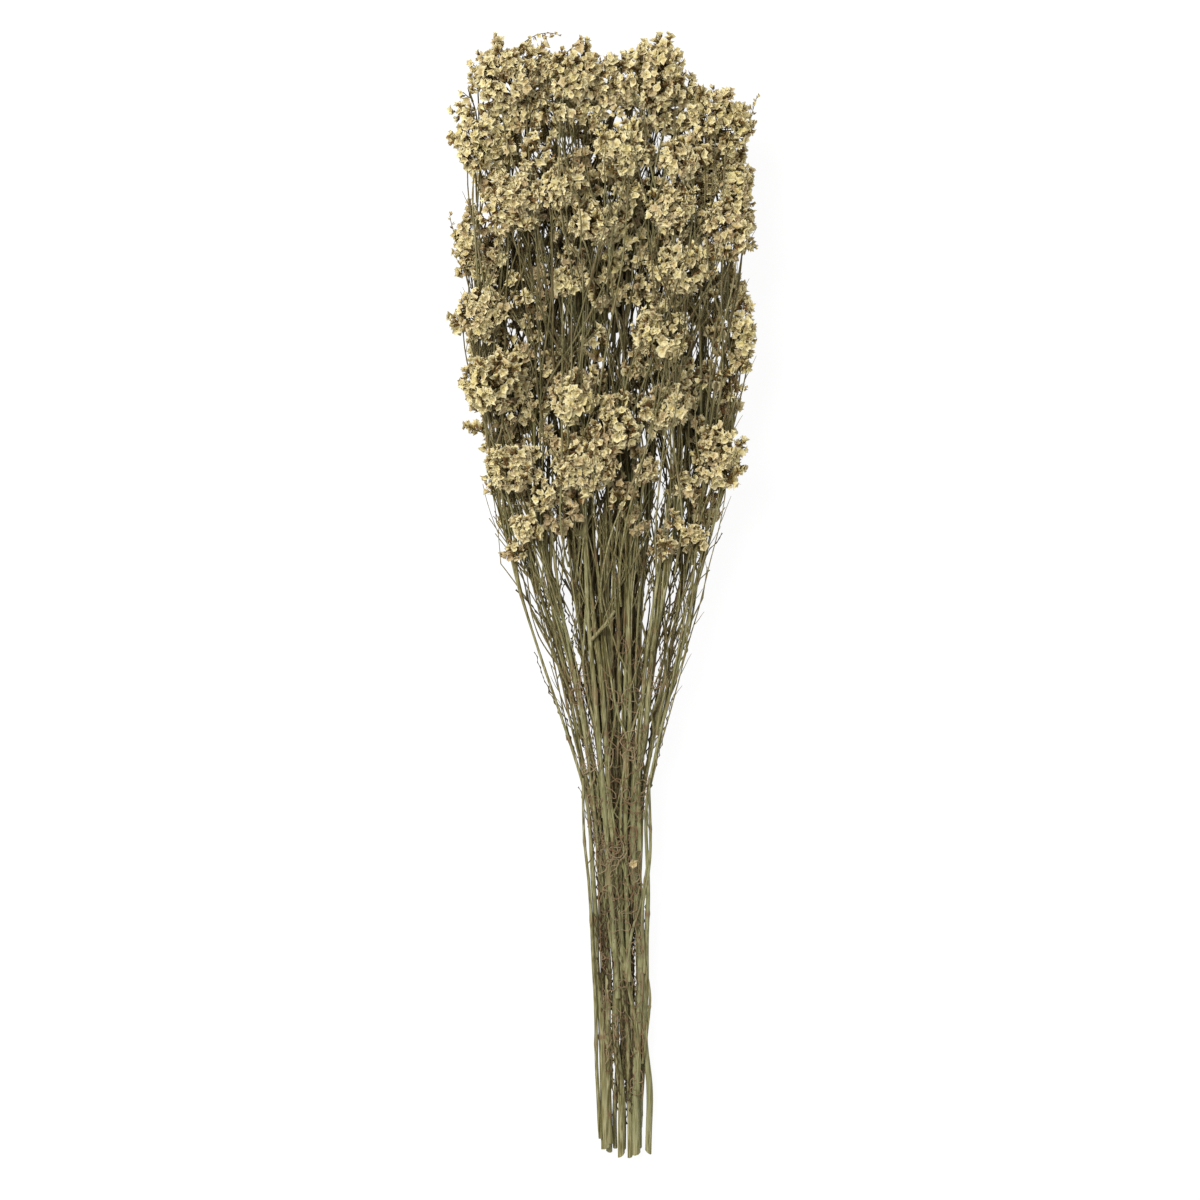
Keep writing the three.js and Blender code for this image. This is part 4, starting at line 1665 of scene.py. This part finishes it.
class Socket:
    """A shader socket that takes part in Python sums."""

    def __init__(self, bench: Bench, link: bpy.types.NodeSocket) -> None:
        """Wraps a socket of a bench's node tree."""
        self.bench = bench
        self.link = link

    def join(self, operation: str, first: Any, second: Any) -> Socket:
        """One Math node on two values."""
        node = self.bench.node("ShaderNodeMath", {"operation": operation}, {0: first, 1: second})
        return Socket(self.bench, node.outputs[0])

    def __add__(self, other: Socket | float) -> Socket:
        """This plus other."""
        return self.join("ADD", self, other)

    def __radd__(self, other: float) -> Socket:
        """Other plus this."""
        return self.join("ADD", other, self)

    def __sub__(self, other: Socket | float) -> Socket:
        """This minus other."""
        return self.join("SUBTRACT", self, other)

    def __rsub__(self, other: float) -> Socket:
        """Other minus this."""
        return self.join("SUBTRACT", other, self)

    def __mul__(self, other: Socket | float) -> Socket:
        """This times other."""
        return self.join("MULTIPLY", self, other)

    def __rmul__(self, other: float) -> Socket:
        """Other times this."""
        return self.join("MULTIPLY", other, self)

    def clamped(self) -> Socket:
        """This, held between 0 and 1."""
        node = self.bench.node("ShaderNodeClamp", {}, {"Value": self})
        return Socket(self.bench, node.outputs[0])


class Bench:
    """Where a material's nodes are put together."""

    def __init__(self, name: str) -> None:
        """Starts an empty material.

        Args:
            name: The material's name.
        """
        self.material = bpy.data.materials.new(name)
        self.material.use_nodes = True
        self.tree = self.material.node_tree
        self.tree.nodes.clear()

    def node(
        self,
        kind: str,
        settings: Mapping[str, Any] | None = None,
        sockets: Mapping[str | int, Any] | None = None,
    ) -> bpy.types.Node:
        """Adds a node.

        Args:
            kind: Blender's name for the type of node.
            settings: Its settings, set first. stops gives a ramp's places and colours.
            sockets: A value, or a socket to link, for each input by name or number.

        Returns:
            The node.
        """
        made = self.tree.nodes.new(kind)
        for name, value in (settings or {}).items():
            if name == "stops":
                elements = made.color_ramp.elements
                while len(elements) < len(value):
                    elements.new(1.0)
                for element, (place, colour) in zip(elements, value):
                    element.position, element.color = place, (*colour, 1.0)
            else:
                setattr(made, name, value)
        for key, value in (sockets or {}).items():
            value = value.link if isinstance(value, Socket) else value
            if isinstance(value, bpy.types.NodeSocket):
                self.tree.links.new(value, made.inputs[key])
            else:
                made.inputs[key].default_value = value
        return made

    def paint(self, name: str) -> Socket:
        """The paint value of a mesh's points by name."""
        node = self.node("ShaderNodeAttribute", {"attribute_name": name})
        return Socket(self, node.outputs["Fac"])

    def noise(self, scale: float, stretch: Sequence[float] = (1, 1, 1), detail: float = 3.0) -> Socket:
        """Cloudy noise in the piece's own space.

        Args:
            scale: How many times it repeats in a metre.
            stretch: How the space is scaled along x, y and z first.
            detail: How many finer layers it has.

        Returns:
            The noise, about 0.3 to 0.7.
        """
        where = self.node("ShaderNodeTexCoord").outputs["Object"]
        laid = self.node("ShaderNodeMapping", {}, {"Vector": where, "Scale": tuple(stretch)})
        sockets = {"Vector": laid.outputs[0], "Scale": scale, "Detail": detail}
        return Socket(self, self.node("ShaderNodeTexNoise", {}, sockets).outputs["Fac"])

    def ramp(self, value: Socket, stops: Sequence[tuple[float, Colour]]) -> bpy.types.NodeSocket:
        """A colour read off a row of colours."""
        return self.node("ShaderNodeValToRGB", {"stops": stops}, {0: value}).outputs[0]

    def mix(self, share: Socket | float, first: Any, second: Any) -> bpy.types.NodeSocket:
        """A mix of two colours.

        Args:
            share: How much of the second colour there is.
            first: The first colour, or a link to it.
            second: The second colour, or a link to it.

        Returns:
            The mixed colour's socket.
        """
        pair = [(*c, 1.0) if isinstance(c, tuple) else c for c in (first, second)]
        sockets = {0: share, 6: pair[0], 7: pair[1]}
        return self.node("ShaderNodeMix", {"data_type": "RGBA"}, sockets).outputs[2]

    def finish(
        self, colour: Any, roughness: Any, bump: Socket, depth: float, **fixed: Any
    ) -> bpy.types.Material:
        """Closes the material with its surface.

        Args:
            colour: The base colour's socket.
            roughness: The roughness, a value or a socket.
            bump: The height of the fine relief.
            depth: How deep the relief is, in metres.
            **fixed: Values of other sockets, with spaces as underscores.

        Returns:
            The material.
        """
        relief = self.node("ShaderNodeBump", {}, {"Strength": 1.0, "Distance": depth, "Height": bump})
        sockets = {"Base Color": colour, "Roughness": roughness, "Normal": relief.outputs[0]}
        sockets |= {name.replace("_", " "): value for name, value in fixed.items()}
        surface = self.node("ShaderNodeBsdfPrincipled", {}, sockets)
        self.node("ShaderNodeOutputMaterial", {}, {"Surface": surface.outputs[0]})
        return self.material


# Finishes


@dataclass(frozen=True)
class StemFinish:
    """Dry olive stem with long streaks, brown nodes, paler, browner twigs and pale cut ends, and a dark
    brown for dark twigs and for painted shade.
    """

    dark: Colour = (0.062, 0.05, 0.013)
    middle: Colour = (0.165, 0.146, 0.058)
    light: Colour = (0.33, 0.302, 0.165)
    green: Colour = (0.122, 0.136, 0.05)
    tan: Colour = (0.192, 0.15, 0.064)
    node: Colour = (0.17, 0.1, 0.05)
    # The dark brown of the wiry twigs, also used as painted shade deep in the bunch.
    dark_twig_and_shade: Colour = (0.055, 0.036, 0.016)
    pith: Colour = (0.42, 0.35, 0.22)
    relief: float = 0.0004
    streak_scale: float = 1500
    patch_scale: float = 38
    fleck_scale: float = 900
    shine: float = 0.18

    def make(self) -> bpy.types.Material:
        """Makes the material.

        Returns:
            The material.
        """
        bench = Bench("dried_stem")
        tint, twig = bench.paint("tint"), bench.paint("twig")
        streaks = bench.noise(self.streak_scale, (1, 0.03, 1), 3)
        patches = bench.noise(self.patch_scale, (1, 0.5, 1), 3)
        flecks = bench.noise(self.fleck_scale, (1, 0.6, 1), 2)
        along = (streaks * 2.3 + patches * 0.7 + tint * 0.4 - 1.16).clamped()
        colour = bench.ramp(along, ((0.1, self.dark), (0.5, self.middle), (0.92, self.light)))
        colour = bench.mix(((patches - 0.47) * 5 + tint - 0.6).clamped() * 0.48, colour, self.green)
        colour = bench.mix((twig * 0.55 * (tint * 0.8 + 0.4)).clamped(), colour, self.tan)
        colour = bench.mix((bench.paint("mark") * (flecks * 1.2 + 0.2)).clamped(), colour, self.node)
        # Negative pith paint mixes in the dark brown: the wiry twigs' own colour, and painted shade deep in
        # the bunch. Positive pith paints the pale cut ends.
        pith = bench.paint("pith")
        colour = bench.mix((0 - pith).clamped() * (1.05 - tint * 0.6), colour, self.dark_twig_and_shade)
        colour = bench.mix(pith.clamped(), colour, self.pith)
        roughness = 0.62 + 0.25 * flecks
        return bench.finish(colour, roughness, streaks, self.relief, Specular_IOR_Level=self.shine)


@dataclass(frozen=True)
class FlowerFinish:
    """Cream papery florets that brown towards their base, partly their own colour and partly painted shade
    in the cups, with brown husks and olive twigs.
    """

    base: Colour = (0.09, 0.055, 0.009)
    throat: Colour = (0.3, 0.222, 0.066)
    cream: Colour = (0.558, 0.466, 0.208)
    rim: Colour = (0.71, 0.636, 0.39)
    yellow: Colour = (0.55, 0.47, 0.18)
    rosy: Colour = (0.335, 0.215, 0.11)
    husk: Colour = (0.175, 0.096, 0.036)
    twig: Colour = (0.105, 0.086, 0.026)
    relief: float = 0.0008
    grain_scale: float = 900
    cloud_scale: float = 55
    blush_scale: float = 300
    shine: float = 0.08

    def make(self) -> bpy.types.Material:
        """Makes the material.

        Returns:
            The material.
        """
        bench = Bench("papery_flower")
        tint = bench.paint("tint")
        grain = bench.noise(self.grain_scale, (1, 1, 1), 3)
        clouds = bench.noise(self.cloud_scale, (1, 1, 1), 2)
        rise = (bench.paint("rise") + (grain - 0.5) * 0.95).clamped()
        # Darker towards the floret's base: its own browner tube, and partly painted shade down in the cup
        # and between florets.
        stops = ((0.06, self.base), (0.34, self.throat), (0.6, self.cream), (0.95, self.rim))
        colour = bench.ramp(rise, stops)
        colour = bench.mix(((tint - 0.62) * 3).clamped() * 0.55, colour, self.yellow)
        # Low tints mix in rosy brown: the florets' own browner tone, and painted shade on the inner sprays.
        colour = bench.mix(((0.34 - tint) * 4).clamped() * 0.6, colour, self.rosy)
        colour = bench.mix(((clouds - 0.5) * 4).clamped() * 0.25, colour, self.rosy)
        blush = bench.noise(self.blush_scale, (1, 0.45, 1), 2)
        colour = bench.mix(((blush - 0.545) * 8).clamped() * 0.6, colour, self.rosy)
        colour = bench.mix(bench.paint("husk") * (0.75 + grain * 0.4), colour, self.husk)
        colour = bench.mix(bench.paint("twig"), colour, self.twig)
        roughness = 0.78 + 0.2 * grain
        return bench.finish(colour, roughness, grain, self.relief, Specular_IOR_Level=self.shine)


@dataclass(frozen=True)
class FloorFinish:
    """Plain pale paper for the floor."""

    pale: Colour = (0.075, 0.075, 0.074)
    paler: Colour = (0.082, 0.082, 0.082)
    glow: float = 0.925
    roughness: float = 0.9
    relief: float = 0.00005

    def make(self) -> bpy.types.Material:
        """Makes the material.

        Returns:
            The material.
        """
        bench = Bench("pale_floor")
        clouds = bench.noise(3, (1, 1, 1), 2)
        colour = bench.mix(clouds, self.pale, self.paler)
        glow = {"Emission_Color": (1.0, 1.0, 1.0, 1.0), "Emission_Strength": self.glow}
        return bench.finish(colour, self.roughness, clouds, self.relief, **glow)


# The studio


@dataclass(frozen=True)
class Studio:
    """The floor, the soft lights and the camera that looks straight down."""

    frame_width: float = 0.72
    look_at: Point = (-0.0027, 0.0015, 0.04)
    camera_height: float = 2.4
    sensor: float = 36.0
    sky: float = 0.5
    key_power: float = 70.0
    fill_power: float = 10.0
    key_size: float = 1.4
    fill_size: float = 1.6
    key_at: Point = (-1.1, 0.9, 1.9)
    fill_at: Point = (1.3, -0.8, 1.6)
    lit_point: Point = (0, 0.1, 0)
    floor_half: float = 6.0

    def floor(self) -> None:
        """Lays the pale floor."""
        half = self.floor_half
        corners = [(-half, -half, 0), (half, -half, 0), (half, half, 0), (-half, half, 0)]
        mesh = bpy.data.meshes.new("floor")
        mesh.from_pydata(corners, [], [(0, 1, 2, 3)])
        mesh.materials.append(FloorFinish().make())
        floor = bpy.data.objects.new("floor", mesh)
        bpy.context.scene.collection.objects.link(floor)

    def light(self, name: str, power: float, size: float, at: Sequence[float]) -> None:
        """Hangs a square soft light that points at the bunch.

        Args:
            name: The light's name.
            power: Its power in watts.
            size: Its side in metres.
            at: Where it hangs.
        """
        data = bpy.data.lights.new(name, "AREA")
        data.energy, data.size = power, size
        lamp = bpy.data.objects.new(name, data)
        lamp.location = at
        lamp.rotation_mode = "QUATERNION"
        lamp.rotation_quaternion = (Vector(at) - Vector(self.lit_point)).to_track_quat("Z", "Y")
        bpy.context.scene.collection.objects.link(lamp)

    def sky_light(self) -> None:
        """Fills the room with even pale light."""
        world = bpy.data.worlds.new("room")
        world.use_nodes = True
        back = world.node_tree.nodes.get("Background")
        back.inputs["Color"].default_value = (1, 1, 1, 1)
        back.inputs["Strength"].default_value = self.sky
        bpy.context.scene.world = world

    def camera(self) -> None:
        """Sets the camera straight above, with the bunch's flowers at the top of the picture."""
        data = bpy.data.cameras.new("camera")
        data.sensor_width = self.sensor
        distance = self.camera_height - self.look_at[2]
        data.lens = self.sensor * distance / self.frame_width
        camera = bpy.data.objects.new("camera", data)
        camera.location = (self.look_at[0], self.look_at[1], self.camera_height)
        bpy.context.scene.collection.objects.link(camera)
        bpy.context.scene.camera = camera

    def build(self) -> None:
        """Builds the whole studio."""
        self.camera()
        self.floor()
        self.sky_light()
        self.light("key", self.key_power, self.key_size, self.key_at)
        self.light("fill", self.fill_power, self.fill_size, self.fill_at)
        scene = bpy.context.scene
        scene.view_settings.view_transform = "Standard"
        scene.cycles.max_bounces = 4
        scene.cycles.diffuse_bounces = 3
        scene.cycles.adaptive_threshold = 0.02
        LOG.info("studio: floor, two soft lights, camera")


def main() -> None:
    """Builds the studio and every piece of the bunch, and reports each of them."""
    logging.basicConfig(level=logging.INFO, format="%(name)s %(message)s")
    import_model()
    lanes = Lanes()
    Studio().build()
    heads = [*UPPER_HEADS, *LowerHeads().places(lanes)]
    stems: list[Piece] = []
    for stem, foot in enumerate(FEET):
        own = [h for h in heads if h.stem == stem]
        near = [h for h in heads if abs(h.stem - stem) == 1]
        stems.append(CutStem(f"branching_{stem + 1:02d}", lanes, Draws(100 + stem), stem, own, near, foot))
    stems += [
        OverBranches("over_branches", lanes, Draws(40), [h for h in UPPER_HEADS if h.at[1] > OVER_FROM_Y]),
        EdgeTwigs("edge_twigs", lanes, Draws(45)),
        FrontStrands("front_strands", lanes, Draws(52)),
        InnerBranches("inner_branches", lanes, Draws(55)),
        WiryTwigs("wiry_twigs", lanes, Draws(60)),
        CurledFibres("curled_fibres", lanes, Draws(70)),
        ThinStems("thin_stems", lanes, Draws(50)),
    ]
    flowers: list[Piece] = []
    for number, place in enumerate(heads, start=1):
        flowers.append(FlowerHead(f"flowers_{number:02d}", lanes, Draws(200 + number), place))
    flowers.append(LooseSprigs("loose_sprigs", lanes, Draws(90)))
    side, inner = SidePlan().places(lanes, Draws(80)), InnerPlan().places(lanes, Draws(88), heads)
    for g in range(SIDE_GROUPS):
        flowers.append(SideSprays(f"side_sprays_{g + 1}", lanes, Draws(81 + g), side[g::SIDE_GROUPS]))
    for g in range(INNER_GROUPS):
        places, name = inner[g::INNER_GROUPS], f"inner_sprays_{g + 1}"
        # The inner sprays take low tints: partly their own browner colour, partly painted shade.
        flowers.append(SideSprays(name, lanes, Draws(91 + g), places, INNER_SHADED_TINTS, INNER_FULLNESS))
    stem_finish, flower_finish = StemFinish().make(), FlowerFinish().make()
    for finish, pieces in ((stem_finish, stems), (flower_finish, flowers)):
        for piece in pieces:
            built = piece.build(finish)
            LOG.info("%s: %d triangles", built.name, len(built.data.polygons))


if __name__ == "__main__":
    main()
